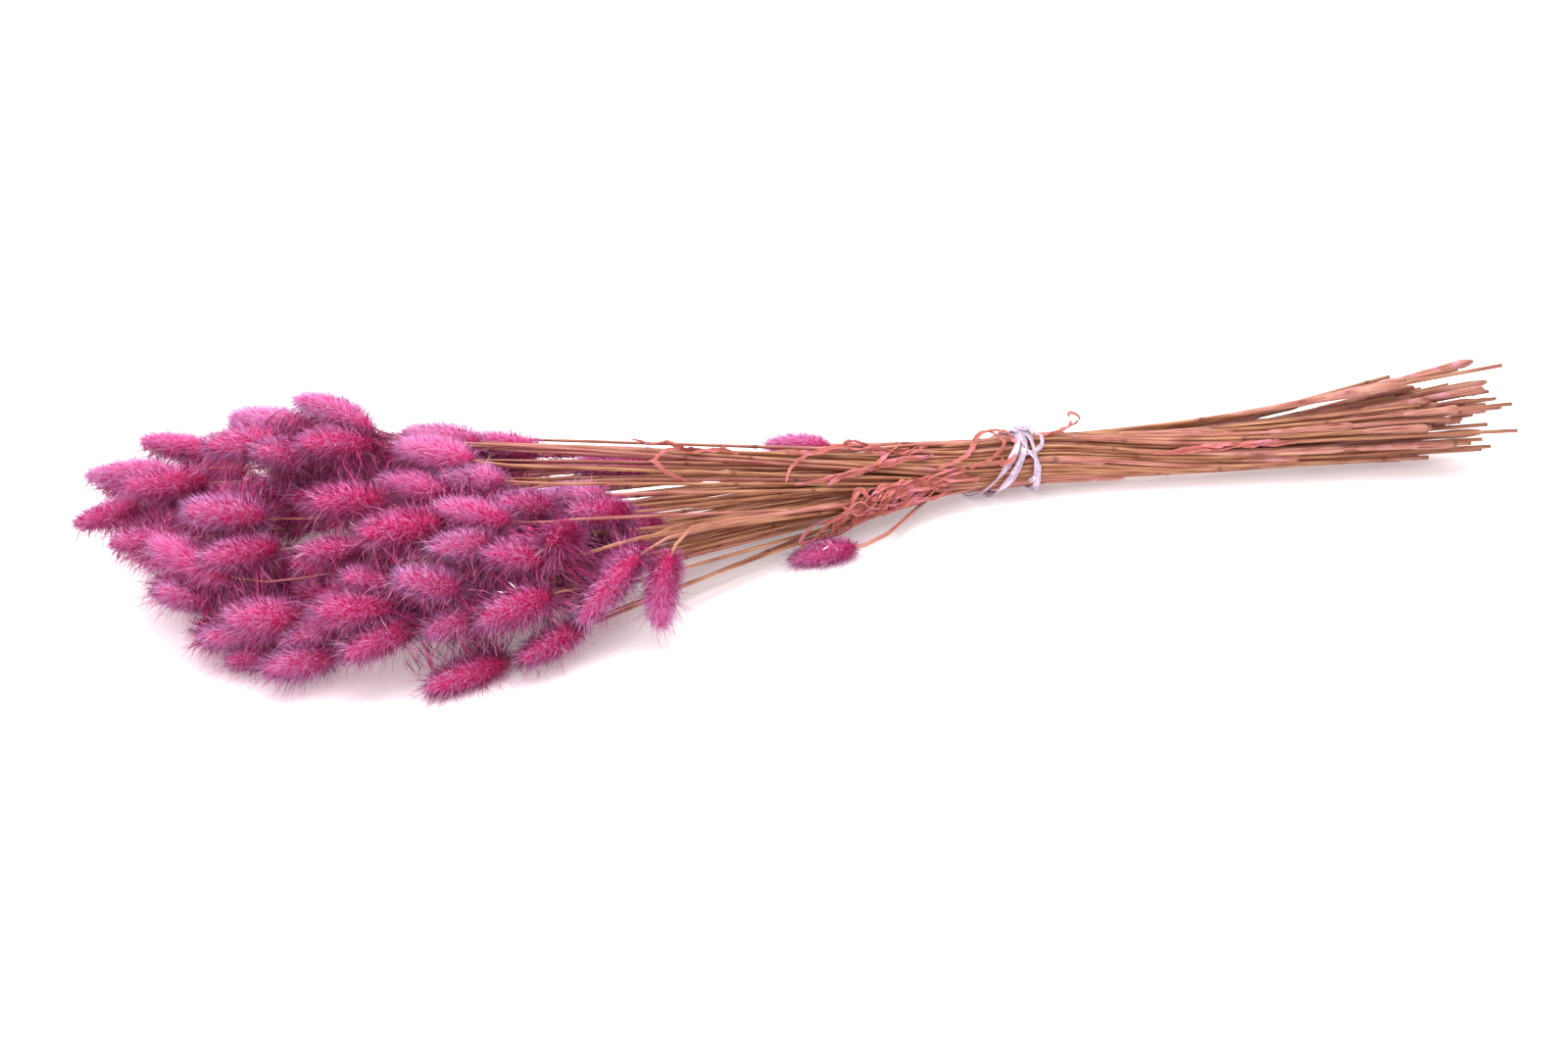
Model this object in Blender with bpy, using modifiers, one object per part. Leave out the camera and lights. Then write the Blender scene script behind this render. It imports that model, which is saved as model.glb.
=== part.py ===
"""A bundle of dried, dyed bunny tail grass, tied once and lying on a table.

Ninety-seven cut stems run from the cut ends (+X) through an elastic tie to a loose mound of fur
heads (-X). The bundle is laid out in millimetres: the heads that show are placed by the list
HEADS, the ones behind and below them by a seeded rule, and then heads and stems are pressed apart
until nothing crosses. +Y points away from the front of the bundle and +Z up, and the origin is
under the middle of the bundle, on the table.
"""

import math
import random

import bmesh
import bpy
import numpy as np
from mathutils import Vector

MM = 0.001

# Where the middle of the finished bundle lies in the layout's own millimetres
MIDDLE = (-4.0, -7.0)

# Heads: the list gives the place of each tip, the way the head points and its size.
# turn is degrees towards the front (-Y) from -X, tilt is degrees upwards,
# and arch is how far the middle of a nodding head rises above its straight line.
# tip x, y, z, turn, tilt, length, width, arch
HEADS = (
    (-300, 60, 55, -30, 0, 40, 12, 0),
    (-325, 40, 50, -15, -5, 42, 12, 0),
    (-310, 0, 65, 15, 10, 42, 16, 0),
    (-330, 5, 45, 20, 0, 36, 12, 0),
    (-315, -15, 45, 15, 10, 34, 12, 0),
    (-285, -30, 65, 15, 20, 42, 17, 0),
    (-260, 30, 75, -25, 5, 42, 15, 0),
    (-275, -5, 80, 15, 10, 44, 17, 0),
    (-255, -15, 80, 20, 20, 36, 15, 0),
    (-235, 10, 95, -20, 20, 40, 13, 3),
    (-235, -20, 80, 15, 10, 42, 16, 0),
    (-195, -10, 75, -30, 5, 38, 15, 0),
    (-190, 20, 65, -25, 0, 38, 14, 0),
    (-165, 35, 50, -25, 0, 42, 14, 0),
    (-180, -25, 65, -25, 0, 32, 13, 0),
    (-235, -45, 70, 20, 15, 40, 17, 0),
    (-205, -20, 60, -25, 0, 36, 15, 0),
    (-220, -70, 65, 20, 10, 46, 17, 0),
    (-185, -45, 60, -20, 10, 36, 14, 0),
    (-190, -70, 55, 20, 10, 34, 14, 0),
    (-170, -70, 50, 15, 15, 36, 16, 0),
    (-140, -70, 50, 60, 20, 30, 15, 0),
    (-130, -45, 50, 20, 10, 34, 16, 0),
    (-115, -35, 40, 15, 15, 34, 14, 0),
    (-160, -45, 60, 15, 15, 34, 15, 0),
    (-140, -20, 45, -20, -5, 34, 13, 0),
    (-115, 25, 35, -20, -5, 38, 16, 0),
    (-135, -80, 15, 30, -25, 48, 16, 2),
    (-160, -95, 12, 30, -5, 38, 14, 0),
    (-125, -65, 25, 35, -15, 34, 14, 0),
    (-95, -75, 5, 60, -60, 36, 15, 9),
    (-275, -65, 35, 20, 15, 38, 18, 0),
    (-300, -40, 35, 15, 25, 34, 13, 0),
    (-300, -15, 45, -40, 10, 46, 16, 0),
    (-280, -45, 50, 20, 10, 38, 15, 0),
    (-240, -60, 55, 20, 15, 34, 13, 0),
    (-240, -85, 40, 20, 10, 42, 18, 0),
    (-230, -95, 20, 30, -5, 44, 17, 0),
    (-260, -85, 10, 20, 5, 38, 16, 0),
    (-205, -80, 50, 15, 25, 34, 15, 0),
    (-175, -90, 30, 25, 0, 40, 17, 0),
    (-195, -85, 25, 25, 0, 30, 13, 0),
    (-200, -100, 8, 25, 0, 46, 16, 0),
    (-285, -55, 20, 15, 10, 38, 14, 0),
    (-275, -65, 10, 20, 5, 38, 14, 0),
    (-175, -70, 35, 20, 10, 34, 15, 0),
    (-225, -70, 50, 15, 20, 32, 14, 0),
    (-250, -70, 20, 25, 0, 34, 15, 0),
    (-195, -80, 30, 20, 10, 34, 15, 0),
    (-20, 62, 18, -22, -4, 34, 11, 0),
    (-30, -27, 8, 3, -2, 34, 12, 0),
)
HEADS_BEHIND = 46
HIDE_DEPTH = 8.0
HIDE_ASIDE = 8.0
HEAD_SOLID = 0.92
HEAD_RINGS = 6
HEAD_RINGS_BEHIND = 5
HEAD_SIDES = 8
TUFT_VALLEY = 0.84
TUFT_LEAN = 0.055
FLAT_BELOW = 0.9
NECK_GAP = 0.35
LINKS = 48
LINK_REACH = 9.0
LINK_PRESS = 0.72
LINK_HOLDS = 0.4
LINK_PATIENCE = 1.5
LINK_WEIGHT = 3.0
GROUP_MOST = 3
STEM_BETWEEN = 0.5
SEED = 12

# The mound that the heads fill: at each x its height, half width and middle line
MOUND_X = (-340, -320, -290, -240, -200, -150, -110, -80, -60)
MOUND_HEIGHT = (20, 50, 64, 76, 76, 62, 48, 36, 28)
MOUND_HALF_WIDTH = (20, 48, 68, 88, 90, 84, 66, 50, 40)
MOUND_MIDDLE = (38, 30, 14, 0, -2, -2, 0, 0, 0)

# Stems: a waist under the tie, a spray of necks on its left and the cut ends on its right
WAIST_LEFT = 66.0
WAIST_RIGHT = 98.0
WAIST_Y = 23.5
WAIST_Z = 15.0
WAIST_RADIUS = 11.2
STEM_RADIUS = 0.95
NECK_RADIUS = 0.6
STEM_TAPER = (-200.0, 66.0)
STEMS_APART = 0.1
STEM_SIDES = 3
STEM_ROLL = 2.4
CORE_RADIUS = 11.3
CORE_LENGTH = 3.0
CUT_X = (268.0, 322.0)
CUT_Y = 0.0
CUT_RADIUS = 22.0
CUT_STRAY_FROM = 0.72
CUT_STRAY_RISE = 70.0
RISE_X = (98.0, 165.0, 322.0)
RISE_Z = (15.0, 14.5, 26.0)
PATH_SLACK = 0.12

# Tie: an elastic band in three rings that meet under its knot
TIE_RADIUS = 1.1
TIE_GAP = 0.35
TIE_TOPS = (97.6, 94.9, 92.2)
TIE_LEANS = (-3.0, 31.0, 42.0)
TIE_SIDES = 5
TIE_STEPS = 20
KNOT_X = 95.0
KNOT_LENGTH = 8.4
KNOT_THICK = 5.0

# Dry leaf sheaths along the outside of the stems: start x, end x, place round the bundle at
# each end (degrees, 0 at the back, 90 on top, 180 in front), width, wave, curl of the far end
LEAVES = (
    (52, -24, 186, 196, 6.5, 1.6, 5.0),
    (64, -2, 168, 176, 6.0, 2.2, 3.0),
    (46, -14, 112, 158, 5.0, 1.8, 4.0),
    (60, 4, 92, 84, 4.5, 2.0, 5.0),
    (-46, -96, 96, 80, 4.0, 2.5, 6.0),
    (104, 118, 98, 90, 3.5, 0.8, 9.0),
    (150, 226, 150, 164, 4.5, 1.2, 2.0),
)
LEAF_THICK = 0.8
LEAF_STEPS = 10
LEAF_GAP = 0.65
LEAF_FOLD = 1.1
LEAF_SINK = 0.9

# Settling: beads along each head, points along each stem
BEADS = 6
BEAD_AT = (np.arange(BEADS) + 0.6) / 6.2
STEM_AT = (0.0, 0.13, 0.29, 0.48, 0.64, 0.76, 0.85, 0.93, 1.0)
NECK_STRAIGHT = (14.0, 9.0)
STEPS = 500
CALM_AFTER = 400
LINK_STEPS = (0, 60, 120, 180, 240, 300, 360)
LIST_EVERY = 10
HEAD_CLEAR = 0.35
STEM_CLEAR = 1.15
FLOOR_PRESS = 0.80
FLOOR_REACH = 5.0
STEM_FLOOR = 1.3
SIGHT = np.array((0.2136, 0.8567, -0.4695))


def direction(turn, tilt):
    """The way a head points, as a unit vector from its neck to its tip."""
    plan = math.radians(180 + turn)
    rise = math.radians(tilt)
    return np.array((
        math.cos(plan) * math.cos(rise),
        math.sin(plan) * math.cos(rise),
        math.sin(rise),
    ))


def profile(along):
    """A head's radius at a share of its length, as a share of its widest: blunt neck, finer tip."""
    return np.sin(math.pi * np.asarray(along, float) ** 0.85).clip(0) ** 0.5


def in_mound(place, radius):
    x, y, z = place
    height = np.interp(x, MOUND_X, MOUND_HEIGHT)
    half = np.interp(x, MOUND_X, MOUND_HALF_WIDTH)
    off = (y - np.interp(x, MOUND_X, MOUND_MIDDLE)) / half
    if abs(off) >= 1 or z < radius * 0.9:
        return False
    return z < height * math.sqrt(1 - off * off) - radius * 0.6


def shown_in_front(x, y, z):
    """Whether the listed heads already fill this place, in front of and above the middle."""
    low_left = x < -270 and y < 20 and z < 35
    buried = z < 40 and x > -250 and y > -45
    return low_left or (y < 5 and z > 25 and not buried)


def hidden_behind(place, beads):
    """Whether a listed head stands before this place along the line of sight."""
    apart = place - beads
    depth = (apart * SIGHT).sum(axis=1)
    aside = np.sqrt(((apart - depth[:, None] * SIGHT) ** 2).sum(axis=1))
    return bool(((depth > HIDE_DEPTH) & (aside < HIDE_ASIDE)).any())


def beads_between(neck, tip):
    return neck + (tip - neck) * BEAD_AT[:, None]


def listed_heads():
    heads = []
    for x, y, z, turn, tilt, length, width, arch in HEADS:
        tip = np.array((x, y, z), float)
        neck = tip - direction(turn, tilt) * length
        heads.append((neck, tip, width / 2 * HEAD_SOLID, arch))
    return heads


def heads_behind(heads):
    """Fill the back and the underside of the mound, each head clear of the beads of the others."""
    dice = random.Random(SEED)
    beads = [bead for head in heads for bead in beads_between(head[0], head[1])]
    listed = np.array(beads)
    added = []
    while len(added) < HEADS_BEHIND:
        x = dice.uniform(-310, -108)
        y = dice.uniform(-75, 95)
        z = dice.uniform(6, 80)
        middle = np.array((x, y, z))
        if shown_in_front(x, y, z) and not hidden_behind(middle, listed):
            continue
        length = dice.uniform(34, 42)
        radius = dice.uniform(14, 17) / 2 * HEAD_SOLID
        if not in_mound(middle, radius):
            continue
        away = math.degrees(math.atan2(y - WAIST_Y, WAIST_RIGHT - x))
        turn = -1.1 * away + dice.uniform(-12, 12)
        tilt = dice.uniform(-4, 10) if z < 25 else dice.uniform(0, 16)
        half = direction(turn, tilt) * length / 2
        if not in_mound(middle + half, radius * 0.6):
            continue
        own = beads_between(middle - half, middle + half)
        gaps = np.linalg.norm(own[:, None] - np.array(beads)[None], axis=2)
        if gaps.min() < 12.0:
            continue
        added.append((middle - half, middle + half, radius, 0))
        beads.extend(own)
    return added


def even_disc(necks):
    """A place on a unit disc for each stem, in the order in which the necks lie round the bundle."""
    away = np.maximum(WAIST_RIGHT - necks[:, 0], 30)
    flat = np.stack(((necks[:, 1] - WAIST_Y) / away, (necks[:, 2] - WAIST_Z) / away), axis=1)
    flat = (flat - flat.mean(axis=0)) / flat.std(axis=0)
    count = len(flat)
    reach = np.sqrt((flat**2).sum(axis=1))
    rank = np.empty(count)
    rank[np.argsort(reach, kind="stable")] = np.sqrt((np.arange(count) + 0.5) / count)
    flat = flat / reach[:, None] * rank[:, None]
    spacing = 2 * math.sqrt(0.80 / count)
    for _ in range(200):
        apart = flat[:, None] - flat[None]
        gap = np.sqrt((apart**2).sum(axis=2)) + np.eye(count) * 9
        push = np.maximum(0, spacing - gap) / gap * 0.25
        flat = flat + (apart * push[:, :, None]).sum(axis=1)
        reach = np.sqrt((flat**2).sum(axis=1))
        flat = flat / np.maximum(1, reach)[:, None]
    return np.round(flat, 6)


def nearest_shares(start_one, line_one, start_two, line_two):
    """How far along each of two straight links the points lie that are nearest each other."""
    between = start_one - start_two
    size_one = np.maximum((line_one**2).sum(axis=1), 1e-6)
    size_two = np.maximum((line_two**2).sum(axis=1), 1e-6)
    both = (line_one * line_two).sum(axis=1)
    from_one = (line_one * between).sum(axis=1)
    from_two = (line_two * between).sum(axis=1)
    spread = np.maximum(size_one * size_two - both**2, 1e-6)
    share_one = ((both * from_two - from_one * size_two) / spread).clip(0, 1)
    share_two = ((both * share_one + from_two) / size_two).clip(0, 1)
    share_one = ((both * share_two - from_one) / size_one).clip(0, 1)
    return share_one, share_two


def without_slack(points):
    """Leave out the points of a path that lie as good as on the line between those that stay."""
    start, end = points[0], points[-1]
    line = (end - start) / np.linalg.norm(end - start)
    off = [np.linalg.norm(point - start - line * (point - start).dot(line)) for point in points]
    furthest = int(np.argmax(off))
    if off[furthest] <= PATH_SLACK:
        return [start, end]
    return without_slack(points[: furthest + 1]) + without_slack(points[furthest:])[1:]


class Layout:
    """Heads as rows of beads and stems as chains of points, pressed apart step by step."""

    def __init__(self):
        heads = listed_heads()
        heads += heads_behind(heads)
        self.count = len(heads)
        self.neck = np.array([head[0] for head in heads])
        self.tip = np.array([head[1] for head in heads])
        self.radius = np.array([head[2] for head in heads])
        self.arch = np.array([head[3] for head in heads], float)
        self.length = np.sqrt(((self.tip - self.neck) ** 2).sum(axis=1))
        self.neck_start = self.neck.copy()
        self.tip_start = self.tip.copy()
        self.bead_radius = self.radius[:, None] * profile(BEAD_AT)[None]
        self.bead_head = np.repeat(np.arange(self.count), BEADS)
        self.bead_at = np.tile(BEAD_AT, self.count)
        self.disc = even_disc(self.neck)
        self.links_made = []
        self.links_refused = set()
        self.group = np.arange(self.count)
        self.start_stems()

    def way(self):
        line = self.tip - self.neck
        return line / np.sqrt((line**2).sum(axis=1))[:, None]

    def waist_places(self, x):
        """The stems' places across the waist, a quarter turn on from the spray of necks."""
        places = np.empty((self.count, 3))
        places[:, 0] = x
        places[:, 1] = WAIST_Y - self.disc[:, 1] * WAIST_RADIUS
        places[:, 2] = WAIST_Z + self.disc[:, 0] * WAIST_RADIUS
        return places

    def start_stems(self):
        """Each stem leaves the waist level and swings in behind its head."""
        start = self.waist_places(WAIST_LEFT)
        way = self.way()
        end = self.neck - way * NECK_STRAIGHT[0]
        reach = np.sqrt(((end - start) ** 2).sum(axis=1))[:, None]
        level = np.array((-1.0, 0.0, 0.0))
        leave = (level * 0.5 + (end - start) / reach * 0.5) * reach * 0.8
        arrive = way * reach * 0.35
        points = []
        for at in STEM_AT:
            points.append(
                (2 * at**3 - 3 * at**2 + 1) * start
                + (at**3 - 2 * at**2 + at) * leave
                + (3 * at**2 - 2 * at**3) * end
                + (at**3 - at**2) * arrive
            )
        points.append(self.neck - way * NECK_STRAIGHT[1])
        points.append(self.neck.copy())
        self.stem = np.stack(points, axis=1)
        self.links = self.stem.shape[1] - 1
        self.rest = np.sqrt(((self.stem[:, 1:] - self.stem[:, :-1]) ** 2).sum(axis=2))
        self.link_stem = np.repeat(np.arange(self.count), self.links)
        self.link_from = np.tile(np.arange(self.links), self.count)

    def side(self):
        """Across each head and upwards, the way a nodding head arches."""
        way = self.way()
        up = np.array((0.0, 0.0, 1.0)) - way * way[:, 2:3]
        return up / np.sqrt((up**2).sum(axis=1))[:, None]

    def spine(self, at):
        """Points at the given shares of every head's length."""
        at = np.asarray(at, float)
        line = (self.tip - self.neck)[:, None] * at[None, :, None]
        bow = self.arch[:, None] * (4 * at * (1 - at))[None]
        return self.neck[:, None] + line + self.side()[:, None] * bow[:, :, None]

    def link_gaps(self):
        """How far each head is from being pressed into each other one, at their nearest beads."""
        beads = self.spine(BEAD_AT).reshape(-1, 3)
        radius = self.bead_radius.reshape(-1)
        apart = np.sqrt(((beads[:, None] - beads[None]) ** 2).sum(axis=2))
        gap = apart - LINK_PRESS * (radius[:, None] + radius[None])
        gap = gap.reshape(self.count, BEADS, self.count, BEADS)
        return gap.min(axis=(1, 3)) + np.eye(self.count) * 99

    def stem_between(self, one, two):
        """Whether another head's stem passes between these two heads where they are nearest."""
        beads = self.spine(BEAD_AT)
        apart = np.sqrt(((beads[one][:, None] - beads[two][None]) ** 2).sum(axis=2))
        apart = apart - self.bead_radius[one][:, None] - self.bead_radius[two][None]
        bead_one, bead_two = divmod(int(apart.argmin()), BEADS)
        start, end = beads[one, bead_one], beads[two, bead_two]
        others = np.arange(self.count)
        others = others[(others != one) & (others != two)]
        first = self.stem[others, :-1].reshape(-1, 3)
        line = self.stem[others, 1:].reshape(-1, 3) - first
        size = np.maximum((line**2).sum(axis=1), 1e-6)
        for share in (0.3, 0.4, 0.5, 0.6, 0.7):
            point = start + (end - start) * share
            along = (((point - first) * line).sum(axis=1) / size).clip(0, 1)
            gap = np.sqrt(((first + line * along[:, None] - point) ** 2).sum(axis=1))
            if gap.min() < STEM_BETWEEN:
                return True
        return False

    def choose_links(self):
        """Link the heads that lie nearest each other; each linked group becomes one body."""
        gap = self.link_gaps()
        for link in self.links_made:
            if gap[link] > LINK_PATIENCE:
                self.links_refused.add(link)
        self.links_made = [link for link in self.links_made if gap[link] <= LINK_PATIENCE]
        self.group = np.arange(self.count)
        for one, two in self.links_made:
            self.group[self.group == self.group[two]] = self.group[one]
        strays = (len(HEADS) - 2, len(HEADS) - 1)
        for flat in np.argsort(gap, axis=None, kind="stable"):
            one, two = divmod(int(flat), self.count)
            if len(self.links_made) >= LINKS or gap[one, two] > LINK_REACH:
                break
            if one > two or one in strays or two in strays or (one, two) in self.links_refused:
                continue
            joined = (self.group == self.group[one]) | (self.group == self.group[two])
            if self.group[one] == self.group[two] or joined.sum() > GROUP_MOST:
                continue
            if not self.stem_between(one, two):
                self.group[joined] = self.group[one]
                self.links_made.append((one, two))

    def list_neighbours(self):
        """The pairs of beads, and of links and beads, that are near enough to test for a while."""
        beads = self.spine(BEAD_AT).reshape(-1, 3)
        radius = self.bead_radius.reshape(-1)
        gap = np.sqrt(((beads[:, None] - beads[None]) ** 2).sum(axis=2))
        near = gap < radius[:, None] + radius[None] + 5
        self.bead_pairs = np.nonzero(near & (self.bead_head[:, None] < self.bead_head[None]))
        start = self.stem[:, :-1].reshape(-1, 3)
        link = self.stem[:, 1:].reshape(-1, 3) - start
        size = np.maximum((link**2).sum(axis=1), 1e-6)
        share = ((beads[None] - start[:, None]) * link[:, None]).sum(axis=2) / size[:, None]
        foot = start[:, None] + link[:, None] * share.clip(0, 1)[:, :, None]
        gap = np.sqrt(((foot - beads[None]) ** 2).sum(axis=2))
        other = self.link_stem[:, None] != self.bead_head[None]
        self.link_pairs = np.nonzero((gap < radius[None] + 8) & other)
        middle = start + link / 2
        reach = np.sqrt((link**2).sum(axis=1)) / 2
        apart = np.sqrt(((middle[:, None] - middle[None]) ** 2).sum(axis=2))
        near = apart < reach[:, None] + reach[None] + 4
        one, two = np.nonzero(near & (self.link_stem[:, None] < self.link_stem[None]))
        share_one, share_two = nearest_shares(start[one], link[one], start[two], link[two])
        apart = start[one] + link[one] * share_one[:, None] - start[two] - link[two] * share_two[:, None]
        near = (apart**2).sum(axis=1) < 5.0**2
        self.stem_pairs = one[near], two[near]

    def push(self, heads, at, move, weight=1.0):
        """Note a move of the point at a share of a head's length, split between its two ends."""
        np.add.at(self.neck_move, heads, move * (1 - at)[:, None] * weight)
        np.add.at(self.tip_move, heads, move * at[:, None] * weight)
        np.add.at(self.neck_votes, heads, (1 - at) * weight)
        np.add.at(self.tip_votes, heads, at * weight)

    def part_heads(self, beads):
        """Overlapping heads move apart, mostly along the line of sight, so that the front stays."""
        one, two = self.bead_pairs
        radius = self.bead_radius.reshape(-1)
        apart = beads[one] - beads[two]
        gap = np.sqrt((apart**2).sum(axis=1))
        linked = self.group[self.bead_head[one]] == self.group[self.bead_head[two]]
        room = (radius[one] + radius[two]) * np.where(linked, LINK_PRESS, 1.0)
        depth = room + np.where(linked, 0.0, HEAD_CLEAR) - gap
        hit = depth > 0
        normal = apart[hit] / gap[hit][:, None]
        sight = (normal * SIGHT).sum(axis=1)
        move = normal + 1.5 * sight[:, None] * SIGHT
        move = move / np.sqrt((move**2).sum(axis=1))[:, None]
        along = np.maximum((move * normal).sum(axis=1), 0.3)
        move = move * (depth[hit] / along * 0.5)[:, None]
        self.push(self.bead_head[one[hit]], self.bead_at[one[hit]], move)
        self.push(self.bead_head[two[hit]], self.bead_at[two[hit]], -move)

    def draw_links(self):
        """Linked heads are drawn together where their beads are nearest."""
        if not self.links_made:
            return
        one, two = np.array(self.links_made).T
        beads = self.spine(BEAD_AT)
        apart = beads[one][:, :, None] - beads[two][:, None]
        room = self.bead_radius[one][:, :, None] + self.bead_radius[two][:, None]
        gap = np.sqrt((apart**2).sum(axis=3)) - LINK_PRESS * room
        nearest = gap.reshape(len(one), -1).argmin(axis=1)
        bead_one, bead_two = nearest // BEADS, nearest % BEADS
        rows = np.arange(len(one))
        line = apart[rows, bead_one, bead_two]
        line = line / np.sqrt((line**2).sum(axis=1))[:, None]
        pull = np.maximum(gap[rows, bead_one, bead_two], 0) * 0.5
        self.push(one, BEAD_AT[bead_one], -line * pull[:, None], LINK_WEIGHT)
        self.push(two, BEAD_AT[bead_two], line * pull[:, None], LINK_WEIGHT)

    def rest_on_floor(self):
        """A head near the table is pressed onto it, and none sinks through it."""
        lift = self.bead_radius * FLOOR_PRESS - self.spine(BEAD_AT)[:, :, 2]
        near = lift.max(axis=1) > -FLOOR_REACH
        lowest = lift.argmax(axis=1)
        for head in np.nonzero(near)[0]:
            at = np.array([BEAD_AT[lowest[head]]])
            share = 1.0 if lift[head].max() > 0 else 0.1
            move = np.array([[0.0, 0.0, lift[head].max() * share]])
            self.push(np.array([head]), at, move)

    def clear_stems(self, beads):
        """Stems bend round the heads that they meet, and those heads give way a little."""
        link, bead = self.link_pairs
        stem = self.link_stem[link]
        first = self.link_from[link]
        start = self.stem[stem, first]
        line = self.stem[stem, first + 1] - start
        size = np.maximum((line**2).sum(axis=1), 1e-6)
        share = (((beads[bead] - start) * line).sum(axis=1) / size).clip(0, 1)
        apart = start + line * share[:, None] - beads[bead]
        gap = np.maximum(np.sqrt((apart**2).sum(axis=1)), 1e-6)
        depth = self.bead_radius.reshape(-1)[bead] + STEM_CLEAR - gap
        hit = depth > 0
        move = apart[hit] / gap[hit][:, None] * depth[hit][:, None]
        share, stem, first, bead = share[hit], stem[hit], first[hit], bead[hit]
        shift = np.zeros_like(self.stem)
        votes = np.zeros(self.stem.shape[:2])
        np.add.at(shift, (stem, first), move * (1 - share)[:, None])
        np.add.at(shift, (stem, first + 1), move * share[:, None])
        np.add.at(votes, (stem, first), 1 - share)
        np.add.at(votes, (stem, first + 1), share)
        self.stem += shift / np.maximum(votes, 1)[:, :, None]
        neck = first >= self.links - 2
        give = np.where(neck, 0.9, 0.35)[:, None]
        self.push(self.bead_head[bead], self.bead_at[bead], -move * give)
        np.add.at(self.neck_move, stem[neck], move[neck] * 0.4)
        np.add.at(self.neck_votes, stem[neck], 0.5)

    def part_stems(self):
        """Stems that would run through each other bend apart."""
        one, two = self.stem_pairs
        stem_one, stem_two = self.link_stem[one], self.link_stem[two]
        first_one, first_two = self.link_from[one], self.link_from[two]
        start_one, start_two = self.stem[stem_one, first_one], self.stem[stem_two, first_two]
        line_one = self.stem[stem_one, first_one + 1] - start_one
        line_two = self.stem[stem_two, first_two + 1] - start_two
        share_one, share_two = nearest_shares(start_one, line_one, start_two, line_two)
        place_one = start_one + line_one * share_one[:, None]
        apart = place_one - start_two - line_two * share_two[:, None]
        gap = np.maximum(np.sqrt((apart**2).sum(axis=1)), 1e-4)
        room = 2 * np.interp(place_one[:, 0], STEM_TAPER, (NECK_RADIUS, STEM_RADIUS)) + STEMS_APART
        depth = room - gap
        hit = depth > 0
        move = apart[hit] / gap[hit][:, None] * depth[hit][:, None] * 0.5
        shift = np.zeros_like(self.stem)
        votes = np.zeros(self.stem.shape[:2])
        ends = (
            (stem_one[hit], first_one[hit], share_one[hit], move),
            (stem_two[hit], first_two[hit], share_two[hit], -move),
        )
        for stem, first, share, way in ends:
            np.add.at(shift, (stem, first), way * (1 - share)[:, None])
            np.add.at(shift, (stem, first + 1), way * share[:, None])
            np.add.at(votes, (stem, first), 1 - share)
            np.add.at(votes, (stem, first + 1), share)
        self.stem += shift / np.maximum(votes, 1)[:, :, None] * 1.2

    def smooth_stems(self, share):
        near_start = self.rest[:, 1:] / (self.rest[:, 1:] + self.rest[:, :-1])
        even = (
            self.stem[:, :-2] * near_start[:, :, None]
            + self.stem[:, 2:] * (1 - near_start)[:, :, None]
        )
        self.stem[:, 1:-1] += (even - self.stem[:, 1:-1]) * share
        self.stem[:, :, 2] = np.maximum(self.stem[:, :, 2], STEM_FLOOR)

    def hold_places(self):
        """Draw the heads back to where they were listed, least of all along the line of sight."""
        for now, start in ((self.neck, self.neck_start), (self.tip, self.tip_start)):
            off = start - now
            sight = (off * SIGHT).sum(axis=1)[:, None] * SIGHT
            now += (off - sight) * 0.03 + sight * 0.0045

    def hold_lengths(self):
        middle = (self.neck + self.tip) / 2
        half = self.way() * self.length[:, None] / 2
        self.neck = np.round(middle - half, 4)
        self.tip = np.round(middle + half, 4)
        self.stem[:, 0] = self.waist_places(WAIST_LEFT)
        self.stem[:, -2] = self.neck - self.way() * NECK_STRAIGHT[1]
        self.stem[:, -1] = self.neck
        self.stem = np.round(self.stem, 4)

    def settle(self):
        for step in range(STEPS):
            calm = step > CALM_AFTER
            if step in LINK_STEPS:
                self.choose_links()
            if step % LIST_EVERY == 0:
                self.list_neighbours()
            self.neck_move = np.zeros_like(self.neck)
            self.tip_move = np.zeros_like(self.tip)
            self.neck_votes = np.zeros(self.count)
            self.tip_votes = np.zeros(self.count)
            beads = self.spine(BEAD_AT).reshape(-1, 3)
            self.part_heads(beads)
            self.draw_links()
            self.rest_on_floor()
            self.clear_stems(beads)
            self.part_stems()
            self.smooth_stems(0.08 if calm else 0.3)
            self.neck += self.neck_move / np.maximum(self.neck_votes, 1)[:, None] * 0.8
            self.tip += self.tip_move / np.maximum(self.tip_votes, 1)[:, None] * 0.8
            if not calm:
                self.hold_places()
            self.hold_lengths()

    def groups(self):
        """Each single head or group of heads that are pressed into one, with the node's name."""
        gap = self.link_gaps()
        group = np.arange(self.count)
        for one, two in self.links_made:
            if gap[one, two] <= LINK_HOLDS:
                group[group == group[two]] = group[one]
        for label in dict.fromkeys(group.tolist()):
            members = np.nonzero(group == label)[0].tolist()
            name = "head" if len(members) == 1 else "heads"
            yield "_".join([name] + [f"{member + 1:02d}" for member in members]), members

    def cut_side(self, stem):
        """A stem's points from the waist to its cut end: a fan that turns on by a quarter."""
        dice = random.Random(1000 + stem)
        across, up = self.disc[stem]
        end_x = dice.uniform(*CUT_X)
        waist = self.waist_places(WAIST_RIGHT)[stem]
        cut_y = CUT_Y - across * CUT_RADIUS
        stray = max(0.0, -up - CUT_STRAY_FROM)
        cut_z = -up * CUT_RADIUS + stray * CUT_STRAY_RISE
        points = []
        for x in (*RISE_X[:-1], end_x):
            share = (x - WAIST_RIGHT) / (CUT_X[1] - WAIST_RIGHT)
            y = waist[1] + (cut_y - waist[1]) * share
            rise = waist[2] - WAIST_Z + (cut_z - (waist[2] - WAIST_Z)) * share
            z = np.interp(x, RISE_X, RISE_Z) + rise
            points.append(np.array((x, y, max(z, STEM_FLOOR))))
        return points

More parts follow.
